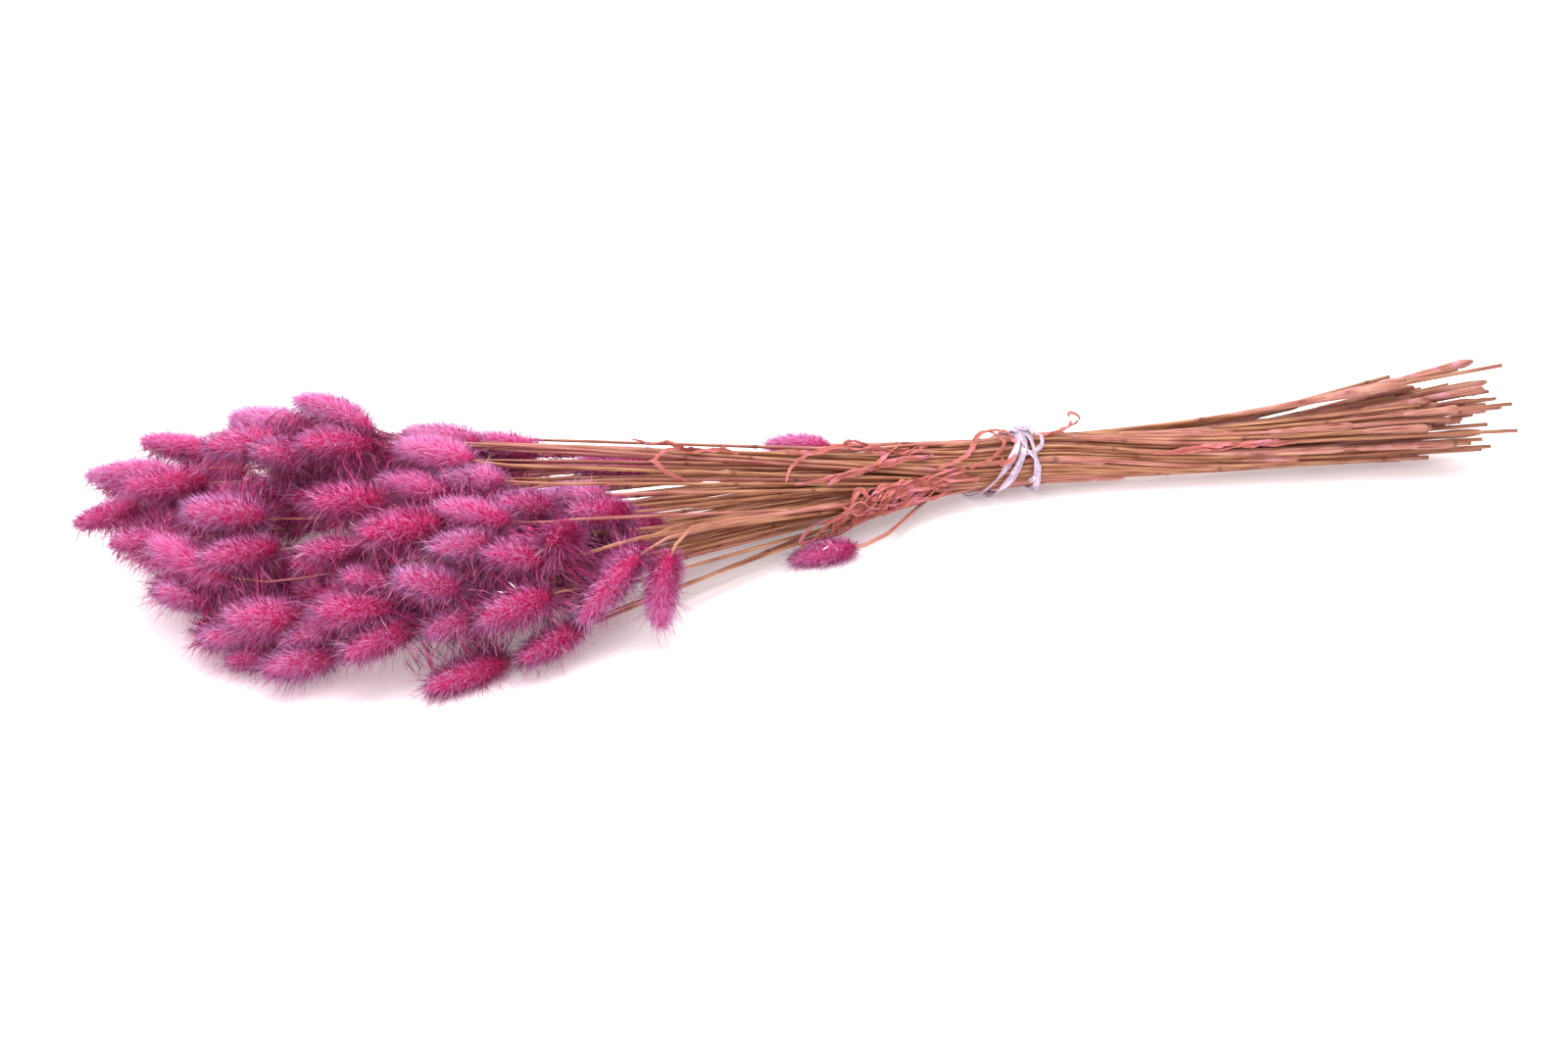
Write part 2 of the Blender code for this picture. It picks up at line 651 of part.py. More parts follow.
    def stem_path(self, stem):
        """Centre line and radius from the neck's end to the cut end."""
        way = self.way()[stem]
        left = [point for point in self.stem[stem]]
        left[-1] = self.neck[stem] - way * NECK_GAP
        points = left[::-1] + self.cut_side(stem)
        points = without_slack(points)
        radii = np.interp([point[0] for point in points], STEM_TAPER, (NECK_RADIUS, STEM_RADIUS))
        radii[:2] = NECK_RADIUS
        return points, radii


def material(name, colour, roughness):
    """A plain Principled material; the colour is linear."""
    made = bpy.data.materials.new(name)
    made.use_nodes = True
    shader = made.node_tree.nodes["Principled BSDF"]
    shader.inputs["Base Color"].default_value = (*colour, 1.0)
    shader.inputs["Roughness"].default_value = roughness
    shader.inputs["Metallic"].default_value = 0.0
    return made


def place(point):
    """A layout point in millimetres as a point in metres from the bundle's origin."""
    return Vector(((point[0] - MIDDLE[0]) * MM, (point[1] - MIDDLE[1]) * MM, point[2] * MM))


def new_object(name, mesh, collection):
    thing = bpy.data.objects.new(name, mesh)
    collection.objects.link(thing)
    return thing


def mesh_from(bm, name):
    bmesh.ops.recalc_face_normals(bm, faces=bm.faces)
    mesh = bpy.data.meshes.new(name)
    bm.to_mesh(mesh)
    bm.free()
    return mesh


def evaluated_copy(thing, name, collection):
    """The object's evaluated mesh as a new object, with the old one removed."""
    bpy.context.view_layer.update()
    result = bpy.data.meshes.new_from_object(thing.evaluated_get(bpy.context.evaluated_depsgraph_get()))
    made = new_object(name, result, collection)
    made.matrix_world = thing.matrix_world
    bpy.data.objects.remove(thing)
    return made


def union(base, others, name, collection):
    """Join closed bodies into one by a single Boolean, and drop any scrap or sealed hollow."""
    joined = bpy.data.collections.new(name + "_parts")
    for other in others:
        joined.objects.link(other)
    fuse = base.modifiers.new("join", "BOOLEAN")
    fuse.operation = "UNION"
    fuse.operand_type = "COLLECTION"
    fuse.collection = joined
    fuse.solver = "MANIFOLD"
    made = evaluated_copy(base, name, collection)
    for other in others:
        bpy.data.objects.remove(other)
    bpy.data.collections.remove(joined)
    keep_largest(made)
    return made


def keep_largest(thing):
    """Keep the body with the most faces; faces belong to one body where they share an edge."""
    bm = bmesh.new()
    bm.from_mesh(thing.data)
    waiting = set(bm.faces)
    bodies = []
    while waiting:
        rim = [waiting.pop()]
        body = list(rim)
        while rim:
            for edge in rim.pop().edges:
                for face in edge.link_faces:
                    if face in waiting:
                        waiting.discard(face)
                        body.append(face)
                        rim.append(face)
        bodies.append(body)
    largest = max(bodies, key=len)
    scraps = [face for body in bodies if body is not largest for face in body]
    bmesh.ops.delete(bm, geom=scraps, context="FACES")
    bmesh.ops.triangulate(bm, faces=bm.faces)
    bm.to_mesh(thing.data)
    bm.free()


def head_object(layout, head, collection):
    """A fur head: a sphere drawn out along its spine, with staggered tufts that lean to the tip."""
    dice = random.Random(500 + head)
    rings = HEAD_RINGS if head < len(HEADS) else HEAD_RINGS_BEHIND
    bm = bmesh.new()
    bmesh.ops.create_uvsphere(bm, u_segments=HEAD_SIDES, v_segments=rings, radius=1.0)
    side = layout.side()[head]
    way = layout.way()[head]
    across = np.cross(way, side)
    roll = dice.uniform(0, 2 * math.pi)
    for vertex in bm.verts:
        along = 1 - math.acos(max(-1.0, min(1.0, vertex.co.z))) / math.pi
        ring = round(along * rings)
        angle = math.atan2(vertex.co.y, vertex.co.x)
        tuft = (ring + round(angle / (2 * math.pi / HEAD_SIDES))) % 2 == 0
        pole = ring in (0, rings)
        reach = dice.uniform(0.93, 1.0) if tuft else TUFT_VALLEY
        lean = TUFT_LEAN if tuft and not pole else 0.0
        middle = layout.spine([along])[head, 0] + way * lean * layout.length[head]
        radius = 0.0 if pole else layout.radius[head] * float(profile(along)) * reach
        out = math.cos(angle + roll) * side + math.sin(angle + roll) * across
        point = middle + out * radius
        point[2] = 0.0 if point[2] < FLAT_BELOW else point[2]
        vertex.co = place(point)
    bmesh.ops.triangulate(bm, faces=bm.faces)
    return new_object(f"fur_{head + 1:02d}", mesh_from(bm, "fur"), collection)


def build_heads(layout, collection):
    fur = material("pink_dyed_fur", (0.56, 0.09, 0.28), 0.95)
    for name, members in layout.groups():
        furs = [head_object(layout, head, collection) for head in members]
        if len(furs) == 1:
            node = furs[0]
            node.name = name
        else:
            node = union(furs[0], furs[1:], name, collection)
        node.data.name = name
        node.data.materials.clear()
        node.data.materials.append(fur)


def triangle_profile(collection):
    """The cross-section of a stem, a unit triangle that each point's radius scales."""
    outline = bpy.data.curves.new("stem_section", "CURVE")
    outline.dimensions = "2D"
    spline = outline.splines.new("POLY")
    spline.points.add(STEM_SIDES - 1)
    for corner, point in enumerate(spline.points):
        angle = 2 * math.pi * corner / STEM_SIDES
        point.co = (math.cos(angle), math.sin(angle), 0.0, 1.0)
    spline.use_cyclic_u = True
    section = new_object("stem_section", outline, collection)
    section.hide_render = True
    section.display_type = "WIRE"
    return section


def tube_object(name, points, radii, section, collection, roll=0.0, closed=False):
    """A tube along points, as a curve with the section as its bevel, made a welded mesh."""
    curve = bpy.data.curves.new(name, "CURVE")
    curve.dimensions = "3D"
    curve.bevel_mode = "OBJECT"
    curve.bevel_object = section
    curve.use_fill_caps = not closed
    spline = curve.splines.new("POLY")
    spline.points.add(len(points) - 1)
    for control, point, radius in zip(spline.points, points, radii):
        control.co = (*place(point), 1.0)
        control.radius = radius * MM
        control.tilt = roll
    spline.use_cyclic_u = closed
    made = evaluated_copy(new_object(name, curve, collection), name, collection)
    bm = bmesh.new()
    bm.from_mesh(made.data)
    bmesh.ops.remove_doubles(bm, verts=bm.verts, dist=0.00001)
    bmesh.ops.triangulate(bm, faces=bm.faces)
    bmesh.ops.recalc_face_normals(bm, faces=bm.faces)
    bm.to_mesh(made.data)
    bm.free()
    return made


def build_stems(layout, collection):
    """Every stem from its head to its cut end, pressed into one body inside the tie."""
    section = triangle_profile(collection)
    tubes = []
    for stem in range(layout.count):
        points, radii = layout.stem_path(stem)
        name = f"stem_{stem + 1:02d}"
        tubes.append(tube_object(name, points, radii, section, collection, roll=stem * STEM_ROLL))
    bpy.data.objects.remove(section)
    bm = bmesh.new()
    bmesh.ops.create_cone(
        bm, cap_ends=True, segments=20, radius1=CORE_RADIUS * MM, radius2=CORE_RADIUS * MM,
        depth=CORE_LENGTH * MM,
    )
    core_at = place(((WAIST_LEFT + WAIST_RIGHT) / 2, WAIST_Y, WAIST_Z))
    for vertex in bm.verts:
        vertex.co = Vector((vertex.co.z, vertex.co.y, vertex.co.x)) + core_at
    core = new_object("core", mesh_from(bm, "core"), collection)
    node = union(core, tubes, "stems", collection)
    node.data.name = "stems"
    node.data.materials.clear()
    node.data.materials.append(material("dried_stem", (0.46, 0.24, 0.13), 0.7))


def stems_at(paths, x):
    """Where every stem crosses the plane at x, as y and z, with its radius."""
    places = []
    for points, radii in paths:
        for one, two, radius in zip(points, points[1:], radii):
            if one[0] <= x <= two[0]:
                middle = one + (two - one) * (x - one[0]) / (two[0] - one[0])
                places.append((middle[1], middle[2], radius))
                break
    return np.array(places)


def leaf_taper(share):
    """A sheath's width at a share of its length, as a share of its widest."""
    return math.sin(math.pi * (0.12 + 0.80 * share)) ** 0.6


def leaf_path(paths, leaf):
    """A sheath's middle line: it lies on the stems under it, and lifts off them in small waves."""
    start, end, turn_start, turn_end, width, wave, curl = leaf
    path = []
    for step in range(LEAF_STEPS + 1):
        share = step / LEAF_STEPS
        x = start + (end - start) * share
        angle = math.radians(turn_start + (turn_end - turn_start) * share)
        out = np.array((math.cos(angle), math.sin(angle)))
        stems = stems_at(paths, x)
        middle = np.median(stems[:, :2], axis=0)
        offset = stems[:, :2] - middle
        reach = (offset * out).sum(axis=1) + stems[:, 2]
        aside = np.abs(offset[:, 1] * out[0] - offset[:, 0] * out[1]) / (width / 2)
        beyond = np.maximum(0, aside - 1) * width / 2
        hollow = np.maximum(0, 1 - aside) * LEAF_FOLD * leaf_taper(share) * LEAF_SINK
        reach = (reach - beyond * LEAF_SINK - hollow).max()
        lift = wave * (0.5 - 0.5 * math.cos(5 * math.pi * share)) + curl * share**4
        flat = middle + out * (reach + LEAF_GAP + LEAF_THICK / 2 + lift)
        path.append((np.array((x, *flat)), np.array((0.0, *out)), np.array((0.0, -out[1], out[0]))))
    return path


def build_leaves(layout, collection):
    dry = material("coral_leaf_sheath", (0.68, 0.22, 0.19), 0.85)
    strays = (len(HEADS) - 2, len(HEADS) - 1)
    paths = [layout.stem_path(stem) for stem in range(layout.count) if stem not in strays]
    for number, leaf in enumerate(LEAVES, start=1):
        name = f"leaf_sheath_{number}"
        dice = random.Random(70 + number)
        path = leaf_path(paths, leaf)
        torn = [dice.uniform(0.55, 1.0) for _ in range(2 * LEAF_STEPS + 2)]
        bm = bmesh.new()
        bmesh.ops.create_grid(bm, x_segments=LEAF_STEPS, y_segments=2, size=0.5)
        for vertex in bm.verts:
            step = round((vertex.co.x + 0.5) * LEAF_STEPS)
            edge = round(vertex.co.y * 2)
            middle, out, across = path[step]
            taper = leaf_taper(step / LEAF_STEPS)
            half = leaf[4] / 2 * taper * torn[2 * step + (edge > 0)] * edge
            fold = LEAF_FOLD * taper * (1 - abs(edge))
            vertex.co = place(middle + across * half + out * fold)
        bmesh.ops.triangulate(bm, faces=bm.faces)
        node = new_object(name, mesh_from(bm, name), collection)
        thick = node.modifiers.new("thickness", "SOLIDIFY")
        thick.thickness = LEAF_THICK * MM
        thick.offset = 0.0
        node.data.materials.append(dry)


def ring_path(top, lean):
    """One turn of the band: a slanted cut round the waist, hung from its place under the knot."""
    reach = WAIST_RADIUS + STEM_RADIUS + TIE_GAP + TIE_RADIUS
    points = []
    for step in range(TIE_STEPS):
        angle = 2 * math.pi * step / TIE_STEPS
        up = math.cos(angle) * reach
        x = top - math.tan(math.radians(lean)) * (reach - up)
        points.append(np.array((x, WAIST_Y - math.sin(angle) * reach, WAIST_Z + up)))
    return points


def build_tie(collection):
    """The elastic band: three rings and the knot on top, joined into one body."""
    outline = bpy.data.curves.new("band_section", "CURVE")
    outline.dimensions = "2D"
    spline = outline.splines.new("POLY")
    spline.points.add(TIE_SIDES - 1)
    for corner, point in enumerate(spline.points):
        angle = 2 * math.pi * (corner + 0.5) / TIE_SIDES
        point.co = (math.cos(angle), math.sin(angle), 0.0, 1.0)
    spline.use_cyclic_u = True
    section = new_object("band_section", outline, collection)
    rings = []
    for number, (top, lean) in enumerate(zip(TIE_TOPS, TIE_LEANS), start=1):
        points = ring_path(top, lean)
        radii = [TIE_RADIUS] * len(points)
        rings.append(tube_object(f"ring_{number}", points, radii, section, collection, closed=True))
    bpy.data.objects.remove(section)
    bm = bmesh.new()
    bmesh.ops.create_icosphere(bm, subdivisions=2, radius=0.5)
    knot_z = WAIST_Z + WAIST_RADIUS + STEM_RADIUS + TIE_GAP + KNOT_THICK / 2
    for vertex in bm.verts:
        size = Vector((KNOT_LENGTH, KNOT_THICK, KNOT_THICK)) * MM
        vertex.co = vertex.co * size + place((KNOT_X, WAIST_Y, knot_z))
    knot = new_object("knot", mesh_from(bm, "knot"), collection)
    node = union(knot, rings, "tie", collection)
    node.data.name = "tie"
    node.data.materials.clear()
    node.data.materials.append(material("white_elastic", (0.85, 0.80, 0.86), 0.45))


def main():
    for thing in list(bpy.data.objects):
        bpy.data.objects.remove(thing)
    collection = bpy.data.collections.new("bunny_tail_bundle")
    bpy.context.scene.collection.children.link(collection)
    layout = Layout()
    layout.settle()
    build_heads(layout, collection)
    build_stems(layout, collection)
    build_leaves(layout, collection)
    build_tie(collection)


main()
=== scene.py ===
"""The looks of a bundle of dried, dyed bunny tail grass, tied once and lying on a table.

The settled layout of heads and stems is worked out as in the part's own source, in millimetres,
so that the fur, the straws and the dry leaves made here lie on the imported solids.
"""

import math
import random
from collections import namedtuple

import bpy
import numpy as np
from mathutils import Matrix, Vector


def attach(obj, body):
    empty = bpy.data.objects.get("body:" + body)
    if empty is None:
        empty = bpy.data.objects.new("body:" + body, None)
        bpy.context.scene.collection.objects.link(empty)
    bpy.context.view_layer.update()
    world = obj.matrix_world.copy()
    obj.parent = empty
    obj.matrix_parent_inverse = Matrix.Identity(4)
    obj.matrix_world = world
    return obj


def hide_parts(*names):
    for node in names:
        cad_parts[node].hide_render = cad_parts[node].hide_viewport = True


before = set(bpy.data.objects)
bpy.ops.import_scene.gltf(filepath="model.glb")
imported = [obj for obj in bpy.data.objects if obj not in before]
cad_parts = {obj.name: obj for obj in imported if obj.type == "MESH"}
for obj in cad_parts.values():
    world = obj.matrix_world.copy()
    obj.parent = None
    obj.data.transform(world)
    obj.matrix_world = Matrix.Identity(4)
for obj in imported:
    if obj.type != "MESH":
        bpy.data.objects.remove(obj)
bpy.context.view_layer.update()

MM = 0.001

# Where the middle of the finished bundle lies in the layout's own millimetres
MIDDLE = (-4.0, -7.0)

# Heads: the list gives the place of each tip, the way the head points and its size.
# turn is degrees towards the front (-Y) from -X, tilt is degrees upwards,
# and arch is how far the middle of a nodding head rises above its straight line.
# tip x, y, z, turn, tilt, length, width, arch
HEADS = (
    (-300, 60, 55, -30, 0, 40, 12, 0),
    (-325, 40, 50, -15, -5, 42, 12, 0),
    (-310, 0, 65, 15, 10, 42, 16, 0),
    (-330, 5, 45, 20, 0, 36, 12, 0),
    (-315, -15, 45, 15, 10, 34, 12, 0),
    (-285, -30, 65, 15, 20, 42, 17, 0),
    (-260, 30, 75, -25, 5, 42, 15, 0),
    (-275, -5, 80, 15, 10, 44, 17, 0),
    (-255, -15, 80, 20, 20, 36, 15, 0),
    (-235, 10, 95, -20, 20, 40, 13, 3),
    (-235, -20, 80, 15, 10, 42, 16, 0),
    (-195, -10, 75, -30, 5, 38, 15, 0),
    (-190, 20, 65, -25, 0, 38, 14, 0),
    (-165, 35, 50, -25, 0, 42, 14, 0),
    (-180, -25, 65, -25, 0, 32, 13, 0),
    (-235, -45, 70, 20, 15, 40, 17, 0),
    (-205, -20, 60, -25, 0, 36, 15, 0),
    (-220, -70, 65, 20, 10, 46, 17, 0),
    (-185, -45, 60, -20, 10, 36, 14, 0),
    (-190, -70, 55, 20, 10, 34, 14, 0),
    (-170, -70, 50, 15, 15, 36, 16, 0),
    (-140, -70, 50, 60, 20, 30, 15, 0),
    (-130, -45, 50, 20, 10, 34, 16, 0),
    (-115, -35, 40, 15, 15, 34, 14, 0),
    (-160, -45, 60, 15, 15, 34, 15, 0),
    (-140, -20, 45, -20, -5, 34, 13, 0),
    (-115, 25, 35, -20, -5, 38, 16, 0),
    (-135, -80, 15, 30, -25, 48, 16, 2),
    (-160, -95, 12, 30, -5, 38, 14, 0),
    (-125, -65, 25, 35, -15, 34, 14, 0),
    (-95, -75, 5, 60, -60, 36, 15, 9),
    (-275, -65, 35, 20, 15, 38, 18, 0),
    (-300, -40, 35, 15, 25, 34, 13, 0),
    (-300, -15, 45, -40, 10, 46, 16, 0),
    (-280, -45, 50, 20, 10, 38, 15, 0),
    (-240, -60, 55, 20, 15, 34, 13, 0),
    (-240, -85, 40, 20, 10, 42, 18, 0),
    (-230, -95, 20, 30, -5, 44, 17, 0),
    (-260, -85, 10, 20, 5, 38, 16, 0),
    (-205, -80, 50, 15, 25, 34, 15, 0),
    (-175, -90, 30, 25, 0, 40, 17, 0),
    (-195, -85, 25, 25, 0, 30, 13, 0),
    (-200, -100, 8, 25, 0, 46, 16, 0),
    (-285, -55, 20, 15, 10, 38, 14, 0),
    (-275, -65, 10, 20, 5, 38, 14, 0),
    (-175, -70, 35, 20, 10, 34, 15, 0),
    (-225, -70, 50, 15, 20, 32, 14, 0),
    (-250, -70, 20, 25, 0, 34, 15, 0),
    (-195, -80, 30, 20, 10, 34, 15, 0),
    (-20, 62, 18, -22, -4, 34, 11, 0),
    (-30, -27, 8, 3, -2, 34, 12, 0),
)
HEADS_BEHIND = 46
HIDE_DEPTH = 8.0
HIDE_ASIDE = 8.0
HEAD_SOLID = 0.92
NECK_GAP = 0.35
LINKS = 48
LINK_REACH = 9.0
LINK_PRESS = 0.72
LINK_HOLDS = 0.4
LINK_PATIENCE = 1.5
LINK_WEIGHT = 3.0
GROUP_MOST = 3
STEM_BETWEEN = 0.5
SEED = 12

# The mound that the heads fill: at each x its height, half width and middle line
MOUND_X = (-340, -320, -290, -240, -200, -150, -110, -80, -60)
MOUND_HEIGHT = (20, 50, 64, 76, 76, 62, 48, 36, 28)
MOUND_HALF_WIDTH = (20, 48, 68, 88, 90, 84, 66, 50, 40)
MOUND_MIDDLE = (38, 30, 14, 0, -2, -2, 0, 0, 0)

# Stems: a waist under the tie, a spray of necks on its left and the cut ends on its right
WAIST_LEFT = 66.0
WAIST_RIGHT = 98.0
WAIST_Y = 23.5
WAIST_Z = 15.0
WAIST_RADIUS = 11.2
STEM_RADIUS = 0.95
NECK_RADIUS = 0.6
STEM_TAPER = (-200.0, 66.0)
STEMS_APART = 0.1
CUT_X = (268.0, 322.0)
CUT_Y = 0.0
CUT_RADIUS = 22.0
CUT_STRAY_FROM = 0.72
CUT_STRAY_RISE = 70.0
RISE_X = (98.0, 165.0, 322.0)
RISE_Z = (15.0, 14.5, 26.0)
PATH_SLACK = 0.12

# Tie: an elastic band in three rings that meet under its knot
TIE_RADIUS = 1.1
TIE_GAP = 0.35
TIE_TOPS = (97.6, 94.9, 92.2)
TIE_LEANS = (-3.0, 31.0, 42.0)

# Dry leaf sheaths along the outside of the stems: start x, end x, place round the bundle at
# each end (degrees, 0 at the back, 90 on top, 180 in front), width, wave, curl of the far end
LEAVES = (
    (52, -24, 186, 196, 6.5, 1.6, 5.0),
    (64, -2, 168, 176, 6.0, 2.2, 3.0),
    (46, -14, 112, 158, 5.0, 1.8, 4.0),
    (60, 4, 92, 84, 4.5, 2.0, 5.0),
    (-46, -96, 96, 80, 4.0, 2.5, 6.0),
    (104, 118, 98, 90, 3.5, 0.8, 9.0),
    (150, 226, 150, 164, 4.5, 1.2, 2.0),
)
LEAF_SINK = 0.9

# Settling: beads along each head, points along each stem
BEADS = 6
BEAD_AT = (np.arange(BEADS) + 0.6) / 6.2
STEM_AT = (0.0, 0.13, 0.29, 0.48, 0.64, 0.76, 0.85, 0.93, 1.0)
NECK_STRAIGHT = (14.0, 9.0)
STEPS = 500
CALM_AFTER = 400
LINK_STEPS = (0, 60, 120, 180, 240, 300, 360)
LIST_EVERY = 10
HEAD_CLEAR = 0.35
STEM_CLEAR = 1.15
FLOOR_PRESS = 0.80
FLOOR_REACH = 5.0
STEM_FLOOR = 1.3
SIGHT = np.array((0.2136, 0.8567, -0.4695))
TINY = 1e-6
FAR = 99.0
# The heads behind: the box they lie in, their sizes and how far apart their beads lie
BEHIND_BOX = ((-310, -108), (-75, 95), (6, 80))
BEHIND_LENGTH = (34, 42)
BEHIND_WIDTH = (14, 17)
BEHIND_APART = 12.0
# How much of the waist the stems fill, and the rounds in which they are spread
DISC_FILLED = 0.80
DISC_STEPS = 200
# Pairs of beads, of links and beads, and of links are tested when they are as near as this
BEADS_NEAR = 5.0
LINKS_NEAR = 8.0
MIDDLES_NEAR = 4.0
STEMS_NEAR = 5.0
# Shares: how far heads part along the line of sight, how much heads give way to necks and stems,
# how strongly they are drawn back, how much stems are smoothed and how much of a move is taken
SIGHT_PULL = 1.5
NECK_GIVES = 0.9
STEM_GIVES = 0.35
HOLD_ACROSS = 0.03
HOLD_ALONG = 0.0045
SMOOTH_FIRST = 0.3
SMOOTH_CALM = 0.08
MOVE_SHARE = 0.8
# The last two heads of the list lie apart from the mound
STRAYS = (len(HEADS) - 2, len(HEADS) - 1)


def lengths(lines):
    return np.sqrt((lines**2).sum(axis=-1))


def unit(lines):
    return lines / np.maximum(lengths(lines), 1e-9)[..., None]


def gaps(one, two):
    """The distance from each place of one list to each place of the other."""
    return lengths(one[:, None] - two[None])


def share_along(points, start, line):
    """How far along each straight link lies the place that is nearest a point."""
    size = np.maximum((line**2).sum(axis=-1), TINY)
    return (((points - start) * line).sum(axis=-1) / size).clip(0, 1)


def cubic(at, start, leave, end, arrive):
    """A point on the smooth curve between two places that leaves and arrives in given ways."""
    return (
        (2 * at**3 - 3 * at**2 + 1) * start
        + (at**3 - 2 * at**2 + at) * leave
        + (3 * at**2 - 2 * at**3) * end
        + (at**3 - at**2) * arrive
    )


def direction(turn, tilt):
    """The way a head points, as a unit vector from its neck to its tip."""
    plan = math.radians(180 + turn)
    rise = math.radians(tilt)
    return np.array((
        math.cos(plan) * math.cos(rise),
        math.sin(plan) * math.cos(rise),
        math.sin(rise),
    ))


def profile(along):
    """A head's radius at a share of its length, as a share of its widest: blunt neck, finer tip."""
    return np.sin(math.pi * np.asarray(along, float) ** 0.85).clip(0) ** 0.5


def in_mound(place, radius):
    x, y, z = place
    height = np.interp(x, MOUND_X, MOUND_HEIGHT)
    half = np.interp(x, MOUND_X, MOUND_HALF_WIDTH)
    off = (y - np.interp(x, MOUND_X, MOUND_MIDDLE)) / half
    if abs(off) >= 1 or z < radius * 0.9:
        return False
    return z < height * math.sqrt(1 - off * off) - radius * 0.6


def shown_in_front(x, y, z):
    """Whether the listed heads already fill this place, in front of and above the middle."""
    low_left = x < -270 and y < 20 and z < 35
    buried = z < 40 and x > -250 and y > -45
    return low_left or (y < 5 and z > 25 and not buried)


def hidden_behind(place, beads):
    """Whether a listed head stands before this place along the line of sight."""
    apart = place - beads
    depth = (apart * SIGHT).sum(axis=1)
    aside = lengths(apart - depth[:, None] * SIGHT)
    return bool(((depth > HIDE_DEPTH) & (aside < HIDE_ASIDE)).any())


def beads_between(neck, tip):
    return neck + (tip - neck) * BEAD_AT[:, None]


def listed_heads():
    heads = []
    for x, y, z, turn, tilt, length, width, arch in HEADS:
        tip = np.array((x, y, z), float)
        neck = tip - direction(turn, tilt) * length
        heads.append((neck, tip, width / 2 * HEAD_SOLID, arch))
    return heads


def heads_behind(heads):
    """Fill the back and the underside of the mound, each head clear of the beads of the others."""
    dice = random.Random(SEED)
    beads = [bead for head in heads for bead in beads_between(head[0], head[1])]
    listed = np.array(beads)
    added = []
    while len(added) < HEADS_BEHIND:
        x, y, z = (dice.uniform(*limits) for limits in BEHIND_BOX)
        middle = np.array((x, y, z))
        if shown_in_front(x, y, z) and not hidden_behind(middle, listed):
            continue
        length = dice.uniform(*BEHIND_LENGTH)
        radius = dice.uniform(*BEHIND_WIDTH) / 2 * HEAD_SOLID
        if not in_mound(middle, radius):
            continue
        away = math.degrees(math.atan2(y - WAIST_Y, WAIST_RIGHT - x))
        turn = -1.1 * away + dice.uniform(-12, 12)
        tilt = dice.uniform(-4, 10) if z < 25 else dice.uniform(0, 16)
        half = direction(turn, tilt) * length / 2
        if not in_mound(middle + half, radius * 0.6):
            continue
        own = beads_between(middle - half, middle + half)
        if gaps(own, np.array(beads)).min() < BEHIND_APART:
            continue
        added.append((middle - half, middle + half, radius, 0))
        beads.extend(own)
    return added


def even_disc(necks):
    """A place on a unit disc for each stem, in the order of the necks round the bundle."""
    away = np.maximum(WAIST_RIGHT - necks[:, 0], 30)
    flat = np.stack(((necks[:, 1] - WAIST_Y) / away, (necks[:, 2] - WAIST_Z) / away), axis=1)
    flat = (flat - flat.mean(axis=0)) / flat.std(axis=0)
    count = len(flat)
    reach = lengths(flat)
    rank = np.empty(count)
    rank[np.argsort(reach, kind="stable")] = np.sqrt((np.arange(count) + 0.5) / count)
    flat = flat / reach[:, None] * rank[:, None]
    spacing = 2 * math.sqrt(DISC_FILLED / count)
    for _ in range(DISC_STEPS):
        apart = flat[:, None] - flat[None]
        gap = lengths(apart) + np.eye(count) * FAR
        push = np.maximum(0, spacing - gap) / gap * 0.25
        flat = flat + (apart * push[:, :, None]).sum(axis=1)
        flat = flat / np.maximum(1, lengths(flat))[:, None]
    return np.round(flat, 6)


def nearest(start_one, line_one, start_two, line_two):
    """Where two straight links are nearest each other: the share along each, the place on the
    first, and the way there from the second."""
    between = start_one - start_two
    size_one = np.maximum((line_one**2).sum(axis=1), TINY)
    size_two = np.maximum((line_two**2).sum(axis=1), TINY)
    both = (line_one * line_two).sum(axis=1)
    from_one = (line_one * between).sum(axis=1)
    from_two = (line_two * between).sum(axis=1)
    spread = np.maximum(size_one * size_two - both**2, TINY)
    share_one = ((both * from_two - from_one * size_two) / spread).clip(0, 1)
    share_two = ((both * share_one + from_two) / size_two).clip(0, 1)
    share_one = ((both * share_two - from_one) / size_one).clip(0, 1)
    place = start_one + line_one * share_one[:, None]
    return share_one, share_two, place, place - start_two - line_two * share_two[:, None]


def without_slack(points):
    """Leave out the points of a path that lie as good as on the line between those that stay."""
    start, end = points[0], points[-1]
    line = (end - start) / np.linalg.norm(end - start)
    off = [np.linalg.norm(point - start - line * (point - start).dot(line)) for point in points]
    furthest = int(np.argmax(off))
    if off[furthest] <= PATH_SLACK:
        return [start, end]
    return without_slack(points[: furthest + 1]) + without_slack(points[furthest:])[1:]


